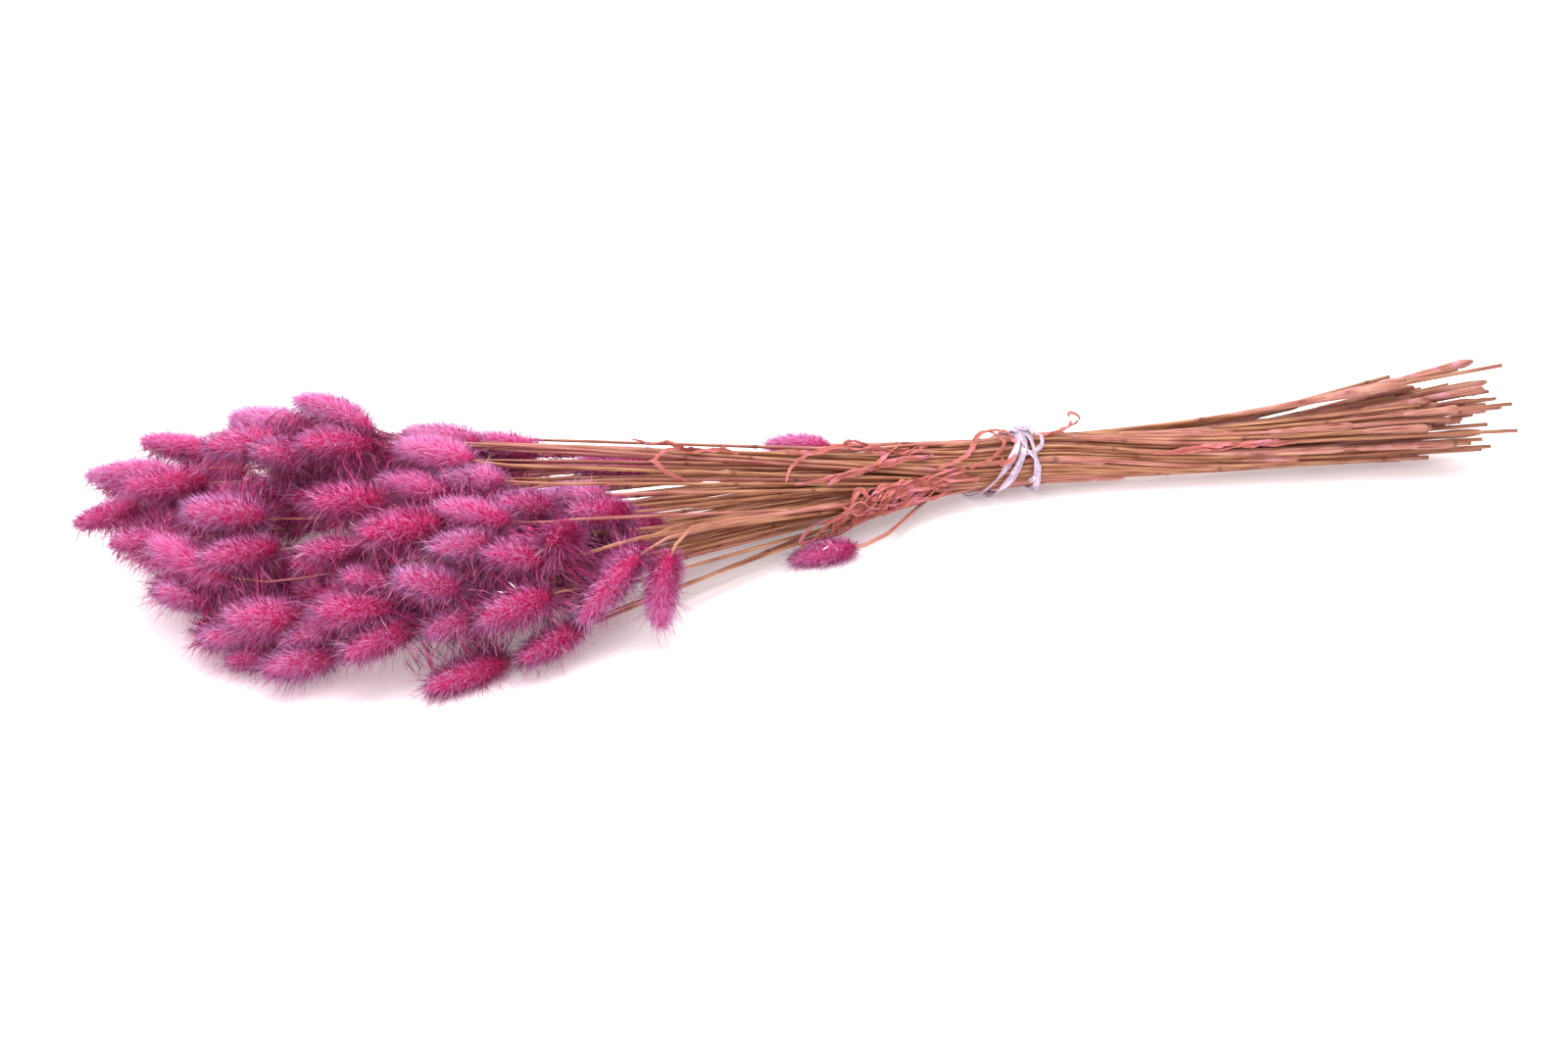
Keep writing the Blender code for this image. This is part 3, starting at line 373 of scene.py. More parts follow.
class Layout:
    """Heads as rows of beads and stems as chains of points, pressed apart step by step."""

    def __init__(self):
        heads = listed_heads()
        heads += heads_behind(heads)
        self.count = len(heads)
        self.neck, self.tip, self.radius, self.arch = (np.array(row, float) for row in zip(*heads))
        self.length = lengths(self.tip - self.neck)
        self.neck_start = self.neck.copy()
        self.tip_start = self.tip.copy()
        self.bead_radius = self.radius[:, None] * profile(BEAD_AT)[None]
        self.flat_radius = self.bead_radius.reshape(-1)
        self.bead_head = np.repeat(np.arange(self.count), BEADS)
        self.bead_at = np.tile(BEAD_AT, self.count)
        self.disc = even_disc(self.neck)
        self.links_made = []
        self.links_refused = set()
        self.group = np.arange(self.count)
        self.start_stems()

    def way(self):
        return unit(self.tip - self.neck)

    def waist_places(self, x):
        """The stems' places across the waist, a quarter turn on from the spray of necks."""
        places = np.empty((self.count, 3))
        places[:, 0] = x
        places[:, 1] = WAIST_Y - self.disc[:, 1] * WAIST_RADIUS
        places[:, 2] = WAIST_Z + self.disc[:, 0] * WAIST_RADIUS
        return places

    def start_stems(self):
        """Each stem leaves the waist level and swings in behind its head."""
        start = self.waist_places(WAIST_LEFT)
        way = self.way()
        end = self.neck - way * NECK_STRAIGHT[0]
        reach = lengths(end - start)[:, None]
        level = np.array((-1.0, 0.0, 0.0))
        leave = (level * 0.5 + (end - start) / reach * 0.5) * reach * 0.8
        arrive = way * reach * 0.35
        points = [cubic(at, start, leave, end, arrive) for at in STEM_AT]
        points += [self.neck - way * NECK_STRAIGHT[1], self.neck]
        self.stem = np.stack(points, axis=1)
        self.links = self.stem.shape[1] - 1
        self.rest = lengths(self.stem[:, 1:] - self.stem[:, :-1])
        self.link_stem = np.repeat(np.arange(self.count), self.links)
        self.link_from = np.tile(np.arange(self.links), self.count)

    def side(self):
        """Across each head and upwards, the way a nodding head arches."""
        way = self.way()
        return unit(np.array((0.0, 0.0, 1.0)) - way * way[:, 2:3])

    def spine(self, at):
        """Points at the given shares of every head's length."""
        at = np.asarray(at, float)
        line = (self.tip - self.neck)[:, None] * at[None, :, None]
        bow = self.arch[:, None] * (4 * at * (1 - at))[None]
        return self.neck[:, None] + line + self.side()[:, None] * bow[:, :, None]

    def beads(self):
        """The beads of all heads in one list."""
        return self.spine(BEAD_AT).reshape(-1, 3)

    def link_gaps(self):
        """How far each head is from being pressed into each other one, at their nearest beads."""
        room = LINK_PRESS * (self.flat_radius[:, None] + self.flat_radius[None])
        gap = gaps(self.beads(), self.beads()) - room
        gap = gap.reshape(self.count, BEADS, self.count, BEADS)
        return gap.min(axis=(1, 3)) + np.eye(self.count) * FAR

    def stem_between(self, one, two):
        """Whether another head's stem passes between these two heads where they are nearest."""
        beads = self.spine(BEAD_AT)
        apart = gaps(beads[one], beads[two])
        apart = apart - self.bead_radius[one][:, None] - self.bead_radius[two][None]
        bead_one, bead_two = divmod(int(apart.argmin()), BEADS)
        start, end = beads[one, bead_one], beads[two, bead_two]
        others = [other for other in range(self.count) if other not in (one, two)]
        first = self.stem[others, :-1].reshape(-1, 3)
        line = self.stem[others, 1:].reshape(-1, 3) - first
        for share in (0.3, 0.4, 0.5, 0.6, 0.7):
            point = start + (end - start) * share
            foot = first + line * share_along(point, first, line)[:, None]
            if lengths(foot - point).min() < STEM_BETWEEN:
                return True
        return False

    def choose_links(self):
        """Link the heads that lie nearest each other; each linked group becomes one body."""
        gap = self.link_gaps()
        for link in self.links_made:
            if gap[link] > LINK_PATIENCE:
                self.links_refused.add(link)
        self.links_made = [link for link in self.links_made if gap[link] <= LINK_PATIENCE]
        self.group = np.arange(self.count)
        for one, two in self.links_made:
            self.group[self.group == self.group[two]] = self.group[one]
        for flat in np.argsort(gap, axis=None, kind="stable"):
            one, two = divmod(int(flat), self.count)
            if len(self.links_made) >= LINKS or gap[one, two] > LINK_REACH:
                break
            stray = one in STRAYS or two in STRAYS
            if one > two or stray or (one, two) in self.links_refused:
                continue
            joined = (self.group == self.group[one]) | (self.group == self.group[two])
            if self.group[one] == self.group[two] or joined.sum() > GROUP_MOST:
                continue
            if not self.stem_between(one, two):
                self.group[joined] = self.group[one]
                self.links_made.append((one, two))

    def list_neighbours(self):
        """The pairs of beads, and of links and beads, that are near enough to test for a while."""
        beads, radius = self.beads(), self.flat_radius
        near = gaps(beads, beads) < radius[:, None] + radius[None] + BEADS_NEAR
        self.bead_pairs = np.nonzero(near & (self.bead_head[:, None] < self.bead_head[None]))
        start = self.stem[:, :-1].reshape(-1, 3)
        link = self.stem[:, 1:].reshape(-1, 3) - start
        share = share_along(beads[None], start[:, None], link[:, None])
        foot = start[:, None] + link[:, None] * share[:, :, None]
        near = lengths(foot - beads[None]) < radius[None] + LINKS_NEAR
        other = self.link_stem[:, None] != self.bead_head[None]
        self.link_pairs = np.nonzero(near & other)
        middle = start + link / 2
        reach = lengths(link) / 2
        near = gaps(middle, middle) < reach[:, None] + reach[None] + MIDDLES_NEAR
        one, two = np.nonzero(near & (self.link_stem[:, None] < self.link_stem[None]))
        apart = nearest(start[one], link[one], start[two], link[two])[-1]
        near = lengths(apart) < STEMS_NEAR
        self.stem_pairs = one[near], two[near]

    def push(self, heads, at, move, weight=1.0):
        """Note a move of the point at a share of a head's length, split between its two ends."""
        np.add.at(self.neck_move, heads, move * (1 - at)[:, None] * weight)
        np.add.at(self.tip_move, heads, move * at[:, None] * weight)
        np.add.at(self.neck_votes, heads, (1 - at) * weight)
        np.add.at(self.tip_votes, heads, at * weight)

    def bend(self, ends, share_taken):
        """Move the places at shares of the stems' links, each move split between a link's ends."""
        shift = np.zeros_like(self.stem)
        votes = np.zeros(self.stem.shape[:2])
        for stem, first, share, move in ends:
            for point, part in ((first, 1 - share), (first + 1, share)):
                np.add.at(shift, (stem, point), move * part[:, None])
                np.add.at(votes, (stem, point), part)
        self.stem += shift / np.maximum(votes, 1)[:, :, None] * share_taken

    def part_heads(self, beads):
        """Overlapping heads move apart, mostly along the line of sight, so that the front stays."""
        one, two = self.bead_pairs
        apart = beads[one] - beads[two]
        gap = lengths(apart)
        linked = self.group[self.bead_head[one]] == self.group[self.bead_head[two]]
        room = (self.flat_radius[one] + self.flat_radius[two]) * np.where(linked, LINK_PRESS, 1.0)
        depth = room + np.where(linked, 0.0, HEAD_CLEAR) - gap
        hit = depth > 0
        normal = apart[hit] / gap[hit][:, None]
        sight = (normal * SIGHT).sum(axis=1)
        move = unit(normal + SIGHT_PULL * sight[:, None] * SIGHT)
        along = np.maximum((move * normal).sum(axis=1), 0.3)
        move = move * (depth[hit] / along * 0.5)[:, None]
        self.push(self.bead_head[one[hit]], self.bead_at[one[hit]], move)
        self.push(self.bead_head[two[hit]], self.bead_at[two[hit]], -move)

    def draw_links(self):
        """Linked heads are drawn together where their beads are nearest."""
        if not self.links_made:
            return
        one, two = np.array(self.links_made).T
        beads = self.spine(BEAD_AT)
        apart = beads[one][:, :, None] - beads[two][:, None]
        room = self.bead_radius[one][:, :, None] + self.bead_radius[two][:, None]
        gap = lengths(apart) - LINK_PRESS * room
        closest = gap.reshape(len(one), -1).argmin(axis=1)
        bead_one, bead_two = closest // BEADS, closest % BEADS
        at = np.arange(len(one)), bead_one, bead_two
        pull = unit(apart[at]) * (np.maximum(gap[at], 0) * 0.5)[:, None]
        self.push(one, BEAD_AT[bead_one], -pull, LINK_WEIGHT)
        self.push(two, BEAD_AT[bead_two], pull, LINK_WEIGHT)

    def rest_on_floor(self):
        """A head near the table is pressed onto it, and none sinks through it."""
        lift = self.bead_radius * FLOOR_PRESS - self.spine(BEAD_AT)[:, :, 2]
        heads = np.nonzero(lift.max(axis=1) > -FLOOR_REACH)[0]
        rise = lift[heads].max(axis=1)
        rise = rise * np.where(rise > 0, 1.0, 0.1)
        move = rise[:, None] * np.array((0.0, 0.0, 1.0))
        self.push(heads, BEAD_AT[lift[heads].argmax(axis=1)], move)

    def clear_stems(self, beads):
        """Stems bend round the heads that they meet, and those heads give way a little."""
        link, bead = self.link_pairs
        stem, first = self.link_stem[link], self.link_from[link]
        start = self.stem[stem, first]
        line = self.stem[stem, first + 1] - start
        share = share_along(beads[bead], start, line)
        apart = start + line * share[:, None] - beads[bead]
        gap = np.maximum(lengths(apart), TINY)
        depth = self.flat_radius[bead] + STEM_CLEAR - gap
        hit = depth > 0
        move = apart[hit] / gap[hit][:, None] * depth[hit][:, None]
        share, stem, first, bead = share[hit], stem[hit], first[hit], bead[hit]
        self.bend([(stem, first, share, move)], 1.0)
        neck = first >= self.links - 2
        give = np.where(neck, NECK_GIVES, STEM_GIVES)[:, None]
        self.push(self.bead_head[bead], self.bead_at[bead], -move * give)
        np.add.at(self.neck_move, stem[neck], move[neck] * 0.4)
        np.add.at(self.neck_votes, stem[neck], 0.5)

    def part_stems(self):
        """Stems that would run through each other bend apart."""
        sides = []
        for pair in self.stem_pairs:
            stem, first = self.link_stem[pair], self.link_from[pair]
            start = self.stem[stem, first]
            sides.append((stem, first, start, self.stem[stem, first + 1] - start))
        (stem_one, first_one, *one), (stem_two, first_two, *two) = sides
        share_one, share_two, place, apart = nearest(*one, *two)
        gap = np.maximum(lengths(apart), 1e-4)
        room = 2 * np.interp(place[:, 0], STEM_TAPER, (NECK_RADIUS, STEM_RADIUS)) + STEMS_APART
        depth = room - gap
        hit = depth > 0
        move = apart[hit] / gap[hit][:, None] * depth[hit][:, None] * 0.5
        self.bend([
            (stem_one[hit], first_one[hit], share_one[hit], move),
            (stem_two[hit], first_two[hit], share_two[hit], -move),
        ], 1.2)

    def smooth_stems(self, share):
        near_start = self.rest[:, 1:] / (self.rest[:, 1:] + self.rest[:, :-1])
        even = (
            self.stem[:, :-2] * near_start[:, :, None]
            + self.stem[:, 2:] * (1 - near_start)[:, :, None]
        )
        self.stem[:, 1:-1] += (even - self.stem[:, 1:-1]) * share
        self.stem[:, :, 2] = np.maximum(self.stem[:, :, 2], STEM_FLOOR)

    def hold_places(self):
        """Draw the heads back to where they were listed, least of all along the line of sight."""
        for now, start in ((self.neck, self.neck_start), (self.tip, self.tip_start)):
            off = start - now
            sight = (off * SIGHT).sum(axis=1)[:, None] * SIGHT
            now += (off - sight) * HOLD_ACROSS + sight * HOLD_ALONG

    def hold_lengths(self):
        middle = (self.neck + self.tip) / 2
        half = self.way() * self.length[:, None] / 2
        self.neck = np.round(middle - half, 4)
        self.tip = np.round(middle + half, 4)
        self.stem[:, 0] = self.waist_places(WAIST_LEFT)
        self.stem[:, -2] = self.neck - self.way() * NECK_STRAIGHT[1]
        self.stem[:, -1] = self.neck
        self.stem = np.round(self.stem, 4)

    def settle(self):
        for step in range(STEPS):
            calm = step > CALM_AFTER
            if step in LINK_STEPS:
                self.choose_links()
            if step % LIST_EVERY == 0:
                self.list_neighbours()
            self.neck_move, self.tip_move = np.zeros((2, self.count, 3))
            self.neck_votes, self.tip_votes = np.zeros((2, self.count))
            beads = self.beads()
            self.part_heads(beads)
            self.draw_links()
            self.rest_on_floor()
            self.clear_stems(beads)
            self.part_stems()
            self.smooth_stems(SMOOTH_CALM if calm else SMOOTH_FIRST)
            self.neck += self.neck_move / np.maximum(self.neck_votes, 1)[:, None] * MOVE_SHARE
            self.tip += self.tip_move / np.maximum(self.tip_votes, 1)[:, None] * MOVE_SHARE
            if not calm:
                self.hold_places()
            self.hold_lengths()

    def groups(self):
        """Each single head or group of heads that are pressed into one, with the node's name."""
        gap = self.link_gaps()
        group = np.arange(self.count)
        for one, two in self.links_made:
            if gap[one, two] <= LINK_HOLDS:
                group[group == group[two]] = group[one]
        for label in dict.fromkeys(group.tolist()):
            members = np.nonzero(group == label)[0].tolist()
            name = "head" if len(members) == 1 else "heads"
            yield "_".join([name] + [f"{member + 1:02d}" for member in members]), members

    def cut_side(self, stem):
        """A stem's points from the waist to its cut end: a fan that turns on by a quarter."""
        dice = random.Random(1000 + stem)
        across, up = self.disc[stem]
        end_x = dice.uniform(*CUT_X)
        waist = self.waist_places(WAIST_RIGHT)[stem]
        cut_y = CUT_Y - across * CUT_RADIUS
        stray = max(0.0, -up - CUT_STRAY_FROM)
        cut_z = -up * CUT_RADIUS + stray * CUT_STRAY_RISE
        points = []
        for x in (*RISE_X[:-1], end_x):
            share = (x - WAIST_RIGHT) / (CUT_X[1] - WAIST_RIGHT)
            y = waist[1] + (cut_y - waist[1]) * share
            rise = waist[2] - WAIST_Z + (cut_z - (waist[2] - WAIST_Z)) * share
            z = np.interp(x, RISE_X, RISE_Z) + rise
            points.append(np.array((x, y, max(z, STEM_FLOOR))))
        return points

    def stem_path(self, stem):
        """Centre line and radius from the neck's end to the cut end."""
        left = list(self.stem[stem])
        left[-1] = self.neck[stem] - self.way()[stem] * NECK_GAP
        points = without_slack(left[::-1] + self.cut_side(stem))
        radii = np.interp([point[0] for point in points], STEM_TAPER, (NECK_RADIUS, STEM_RADIUS))
        radii[:2] = NECK_RADIUS
        return points, radii


# Fur: hairs on one head, in listed heads and in those behind them, their sizes in millimetres
CORE_SHARE = 0.67
ROOT_SHARE = 0.65
PLAIN_HALF = 8.0
SLOPE_STEP = 0.01
# The heads behind take darker shades than the listed ones: painted shade for the depth of the mound
OWN_SHADE = ((0.14, 0.42), (0.12, 0.30))
SOFT_SHADES = 0.62
DOWN_HAIRS = (4200, 1800)
DOWN_LENGTH = (1.6, 3.3)
DOWN_WIDTH = (0.25, 0.38)
PLUSH_HAIRS = (2750, 1150)
PLUSH_LENGTH = ((3.6, 6.6), (4.0, 9.0))
PLUSH_WIDTH = (0.155, 0.27)
AWNS = (240, 300)
AWN_LENGTH = (8.0, 15.0)
AWN_WIDTH = (0.19, 0.26)
AWN_SHADES = (0.69, 0.79)
PALE_SHADES = (0.80, 0.86)
TANGLE_REACH = 16.0
TANGLE_HAIRS = (36, 56)
# The wide dark tangle hairs, and their share of all tangle hairs, are painted shade in the gaps
TANGLE_WIDTH = 0.38
TANGLE_SHADE_SHARE = (0.4, 0.7)
TANGLE_LEAST = 4.0
TANGLE_MOST = 19.0
UNDER_HAIRS = (150, 110)
UNDER_LENGTH = (5.0, 12.5)
UNDER_WIDTH = (0.34, 0.5)
UNDER_FROM = 28.0
HUSKS = 1.6
HUSK_LENGTH = (3.08, 5.28)
HUSK_WIDTH = 0.55
HUSK_OUT = 1.04
HUSK_SHADE = 0.95
HAIR_FLOOR = 0.15
WHOLE_TURN = 6.28

# A kind of hair: its stray from its way, its lean to the tip, its rolls and how its shading
# follows it; then how far it stands out, how its lean grows along the head, whether a bigger
# head's are longer, how much shorter they are upright, and the knee with its curl, bend and sag
Hair = namedtuple(
    "Hair", "stray lean roll soft out rise grows upright knee curl bend sag",
    defaults=(1.0, 0.0, 0, 0.0, 0.5, 0.0, 0.0, 0.0),
)
DOWN = Hair(0.24, 0.6, (-1.2, 1.2), 0.5, grows=1, knee=0.0)
PLUSH = Hair(0.19, 0.75, (-1.2, 1.2), 0.5, rise=0.4, grows=1, curl=0.3, bend=0.15)
# The hairs that stand up are short, and the long ones hang and cross in the gaps
AWN = Hair(0.4, 0.5, (-1.5, 1.5), 0.4, upright=0.72, knee=0.55, bend=0.25, sag=0.15)
UNDER = Hair(0.35, 0.3, (0, WHOLE_TURN), 0.4, upright=0.5, bend=0.2)
HUSK = Hair(0.6, 0.6, (-0.6, 0.6), 0.0, out=0.35)

# Straws: rings along each stem and the swollen joints on it, in millimetres
EASE_SPACING = 6.0
EASE_STEPS = 8
RING_SPACING = 12.0
STRAW_SIDES = 6
STRAW_TAPER = (-180.0, -110.0, 66.0)
STRAW_RADII = (0.42, 0.86, 0.98)
JOINT_AT = (150.0, 330.0, 480.0)
JOINT_STRAY = 45.0
JOINT_RINGS = (-3.0, -1.2, 0.0, 1.0, 2.4)
JOINT_LENGTH = 1.3
JOINT_SWELL = 0.30
HOLLOW = (0.62, 0.55)
MAP_LENGTH = 640.0

# Sleeves of leaf sheath on the straws: where they start from the head, how often, their size
WRAP_AT = ((130, 300, 0.40), (330, 420, 0.60), (430, 560, 0.90))
WRAP_LENGTH = (25.0, 85.0)
WRAP_RINGS = 12
WRAP_SIDES = 7
WRAP_LEAST = 12.0
WRAP_TORN = 3.0

# Elastic: a flat band of fine rubber threads, its bow, its knot and its ends. Each run is given
# by places as x, turn and lift, then its width
BAND_WIDTH = 3.6
BAND_THICK = 0.9
BAND_SIDES = 12
RING_STEPS = 48
TIE_ENDS = (
    (((94, 84, 1), (97, 90, 3), (101, 102, 4), (102, 118, 4), (100, 134, 3), (96, 142, 2),
      (94, 130, 3), (93, 112, 3), (93, 94, 2), (94, 80, 1)), 2.2),
    (((90, 76, 1), (93, 84, 2.5), (97, 94, 3), (99, 84, 3), (95, 74, 2.5), (91, 82, 3),
      (92, 94, 3), (97, 98, 2), (99, 90, 1)), 2.0),
    (((95, 136, 2), (97, 150, 1.5), (99, 168, 1.0), (98, 186, 1.0), (95, 196, 1.5)), 2.3),
    (((95, 138, 2), (91, 150, 2), (88, 164, 2), (85, 176, 3)), 1.8),
)

# Torn sheaths: how many shreds each is torn into, and how far they wander round the bundle
SHREDS = ((9, 16.0), (8, 15.0), (2, 6.0), (3, 10.0), (2, 10.0), (1, 3.0), (3, 6.0))
SHRED_THICK = 0.2
SHRED_FLOOR = 0.4
SHRED_PLACES = 7
STRIP_SPACING = 12.0
STRIP_STEPS = 13.2
STRIP_LIFT = 0.3
STRIP_FLOOR = 0.6
# Strips that stray from their sheaths: the sheath, width, twist, then places as x, turn and lift
STRAY_STRIPS = (
    (1, 2.6, 0.5,
     ((34, 196, 1), (12, 203, 2), (-10, 204, 3), (-24, 199, 2), (-18, 190, 3), (-6, 188, 2))),
    (2, 3.0, 0.5,
     ((50, 152, 1), (62, 140, 2), (70, 112, 2), (76, 86, 3), (82, 80, 3), (86, 92, 3))),
    (2, 2.4, 0.6, ((80, 82, 3), (84, 100, 2), (83, 126, 2), (76, 146, 1), (66, 158, 1))),
    (2, 2.6, 0.7,
     ((86, 82, 3), (90, 104, 2), (90, 132, 2), (86, 152, 2), (80, 160, 2), (82, 146, 3))),
    (3, 3.0, 0.6,
     ((-22, 150, 1), (0, 143, 1), (16, 134, 1), (25, 112, 1), (30, 90, 2), (37, 74, 4))),
    (3, 1.8, 0.6, ((-26, 146, 1), (-20, 122, 1), (-12, 100, 2), (2, 86, 2), (16, 80, 2))),
    (4, 3.4, 0.9, ((40, 84, 2), (24, 80, 2), (12, 78, 4), (2, 82, 2), (-8, 86, 2), (-20, 88, 2))),
    (4, 2.2, 1.2, ((22, 76, 3), (18, 84, 5), (12, 84, 6), (8, 78, 5), (12, 74, 3))),
    (5, 2.2, 0.8,
     ((-58, 88, 1), (-70, 94, 2), (-80, 98, 3), (-86, 116, 2), (-80, 130, 2), (-72, 138, 1))),
    (6, 2.6, 0.6,
     ((104, 97, 0), (112, 88, 1), (120, 80, 3), (124, 78, 6), (121, 80, 9), (117, 84, 10),
      (117, 90, 9))),
)

# Camera: where it stands and how it is turned, as the photograph was taken
CAMERA_AT = (-0.2688, -0.9918, 0.5582)
CAMERA_TURN = 14.0
CAMERA_FALL = 28.0
CAMERA_LENS = 60.0

# Studio: the painted pink cast on the table, the pale surround, and each soft light's place, size,
# power
CAST_MOVED = (1.45, 0.05, 0.0)
CAST_SCALE = (7.5, 9.5, 1.0)
SURROUND = 1.05
LAMPS = (
    ("softbox_above", (-0.3, 0.45, 1.7), 1.9, 50.0),
    ("softbox_front", (-1.1, -1.5, 1.3), 1.4, 16.0),
)
LAMPS_AIM = (-0.1, 0.0, 0.0)


def at_metres(points):
    """Layout points in millimetres as places in metres from the bundle's origin."""
    moved = np.asarray(points, float) * MM
    moved[..., 0] -= MIDDLE[0] * MM
    moved[..., 1] -= MIDDLE[1] * MM
    return moved


def linked_object(name, data):
    thing = bpy.data.objects.new(name, data)
    bpy.context.scene.collection.objects.link(thing)
    return thing


def finish_piece(piece, name, material, nodes):
    """Name a piece at the origin; it rides on the bundle and stands for its solids."""
    piece.name = piece.data.name = name
    piece.data.materials.clear()
    piece.data.materials.append(material)
    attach(piece, "root")
    if nodes:
        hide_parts(*nodes)


class Gathered:
    """One piece's points and triangles, gathered part by part, with its shade at each point
    kept as the UV map."""

    def __init__(self):
        self.points, self.triangles, self.shade, self.normals = [], [], [], []
        self.count = 0

    def add(self, points, triangles, shade, normals=None):
        self.points.append(points)
        self.triangles.append(triangles + self.count)
        self.shade.append(shade)
        self.normals.append(normals)
        self.count += len(points)

    def add_hairs(self, corners, faces, reach, shade, normals):
        """Hairs that are all made alike, from their corners, their faces and how far along a
        hair each corner lies."""
        count, size = len(shade), len(reach)
        points = np.stack(corners, axis=1).reshape(-1, 3)
        triangles = np.array(faces)[None] + np.arange(count)[:, None, None] * size
        places = np.stack((np.repeat(shade, size), np.tile(reach, count)), axis=1)
        self.add(points, triangles.reshape(-1, 3), places, np.repeat(normals, size, axis=0))

    def piece(self, name, material, slot, nodes):
        points = np.concatenate(self.points)
        points[:, 2] = np.maximum(points[:, 2], HAIR_FLOOR)
        triangles = np.concatenate(self.triangles)
        mesh = bpy.data.meshes.new(name)
        mesh.vertices.add(len(points))
        mesh.vertices.foreach_set("co", at_metres(points).astype(np.float32).ravel())
        mesh.loops.add(triangles.size)
        mesh.loops.foreach_set("vertex_index", triangles.astype(np.int32).ravel())
        mesh.polygons.add(len(triangles))
        mesh.polygons.foreach_set("loop_start", np.arange(0, triangles.size, 3, dtype=np.int32))
        mesh.update(calc_edges=True)
        layer = mesh.uv_layers.new(name="OFBake")
        shade = np.concatenate(self.shade)[triangles.ravel()]
        layer.data.foreach_set("uv", shade.astype(np.float32).ravel())
        mesh.shade_smooth()
        if self.normals[0] is not None:
            normals = np.concatenate(self.normals).astype(np.float32)
            mesh.normals_split_custom_set_from_vertices(normals)
        finish_piece(linked_object(name, mesh), name, material, nodes)
        return mesh


# Materials


def linear(code):
    """An sRGB hex colour as the linear colour that a shader takes."""
    parts = [int(code[at:at + 2], 16) / 255 for at in (1, 3, 5)]
    parts = [part / 12.92 if part <= 0.04045 else ((part + 0.055) / 1.055) ** 2.4 for part in parts]
    return (*parts, 1.0)


def add_node(tree, kind, inputs=None, stops=(), **properties):
    """Add a node with its properties, each input as a value or a link, and a ramp's stops."""
    node = tree.nodes.new(kind)
    for name, value in properties.items():
        setattr(node, name, value)
    for name, value in (inputs or {}).items():
        if isinstance(value, bpy.types.NodeSocket):
            tree.links.new(value, node.inputs[name])
        else:
            node.inputs[name].default_value = value
    for number, (at, code) in enumerate(stops):
        elements = node.color_ramp.elements
        element = elements[number] if number < 2 else elements.new(at)
        element.position = at
        element.color = linear(code)
    return node


def start_material(name, sockets):
    made = bpy.data.materials.new(name)
    made.use_nodes = True
    shader = made.node_tree.nodes["Principled BSDF"]
    for socket, value in sockets.items():
        shader.inputs[socket].default_value = value
    return made, made.node_tree, shader


def ramp(tree, share, stops):
    return add_node(tree, "ShaderNodeValToRGB", {"Fac": share}, stops).outputs[0]


def mix(tree, share, one, two):
    sockets = {0: share, 6: one, 7: two}
    return add_node(tree, "ShaderNodeMix", sockets, data_type="RGBA").outputs[2]


def fine_grain(tree, repeats, scale, detail):
    """Noise along a piece, on its map repeated so many times across and along it."""
    place = add_node(tree, "ShaderNodeUVMap", uv_map="OFBake")
    drawn = {"Vector": place.outputs["UV"], "Scale": (*repeats, 1)}
    drawn = add_node(tree, "ShaderNodeMapping", drawn)
    grain = {"Vector": drawn.outputs[0], "Scale": scale, "Detail": detail}
    return add_node(tree, "ShaderNodeTexNoise", grain, noise_dimensions="2D").outputs["Fac"]


def dyed_fur_material():
    """Fine plant hairs, dyed and dried: matt, red-pink at the root and lilac at the tip, and
    with a soft sheen round the edge of each head. The change from root to tip is partly the dye
    and partly painted light: painted shade deep in the fur at the roots, and a painted sheen
    and glow in the paler lilac tips. The lowest shades are painted shade for the hairs deep in
    the mound. The map gives a hair's shade and the place from its root to its tip; the shades
    past 0.65 are the long awns and the pale husks."""
    made, tree, shader = start_material("dyed_plant_fur", {
        "Roughness": 0.85,
        "Specular IOR Level": 0.0,
        "Sheen Weight": 0.12,
        "Sheen Roughness": 0.5,
        "Sheen Tint": linear("#F4B4E4"),
    })
    place = add_node(tree, "ShaderNodeUVMap", uv_map="OFBake")
    parts = add_node(tree, "ShaderNodeSeparateXYZ", {"Vector": place.outputs["UV"]})
    along = {"Value": parts.outputs["Y"], "From Min": 0.1, "From Max": 0.85}
    along = add_node(tree, "ShaderNodeMapRange", along)
    # The 0.0 stops are painted shade for hairs deep in the mound; the pale tips are partly painted
    # sheen and glow
    roots = ((0.0, "#B3004D"), (0.30, "#D6376F"), (0.62, "#D15FA4"),
             (0.68, "#BF3881"), (0.80, "#D45D97"), (0.90, "#E8D0B8"))
    tips = ((0.0, "#CE277C"), (0.30, "#E17EC0"), (0.62, "#E3ADE3"),
            (0.68, "#DA76B1"), (0.80, "#EBA6C7"), (0.90, "#FCF4E8"))
    roots, tips = (ramp(tree, parts.outputs["X"], stops) for stops in (roots, tips))
    tree.links.new(mix(tree, along.outputs[0], roots, tips), shader.inputs["Base Color"])
    return made


def straw_material():
    """Dried grass straw, cut and dyed with the heads: a faintly glossy tan skin with fine
    streaks along it, where the pink dye has taken in patches."""
    made, tree, shader = start_material("dried_grass_straw", {
        "Roughness": 0.5,
        "Specular IOR Level": 0.35,
    })
    # Streaks about 0.3 mm wide and 20 mm long: a stem takes 1/97 of the map, 600 mm is its height
    streaks = fine_grain(tree, (500, 30), 1.0, 3.0)
    tan = ramp(tree, streaks, ((0.27, "#622B1C"), (0.48, "#A2684A"), (0.72, "#C2906E")))
    pink = ramp(tree, streaks, ((0.27, "#813835"), (0.5, "#AB665F"), (0.72, "#C38881")))
    dye = add_node(tree, "ShaderNodeAttribute", attribute_name="dye")
    parts = add_node(tree, "ShaderNodeSeparateColor", {"Color": dye.outputs["Color"]})
    dyed = mix(tree, parts.outputs["Red"], tan, pink)
    # Green mixes in the dark joint colour: at the swollen joints, and more faintly towards the cut
    # ends
    joint = mix(tree, parts.outputs["Green"], dyed, linear("#612D25"))
    tree.links.new(joint, shader.inputs["Base Color"])
    return made


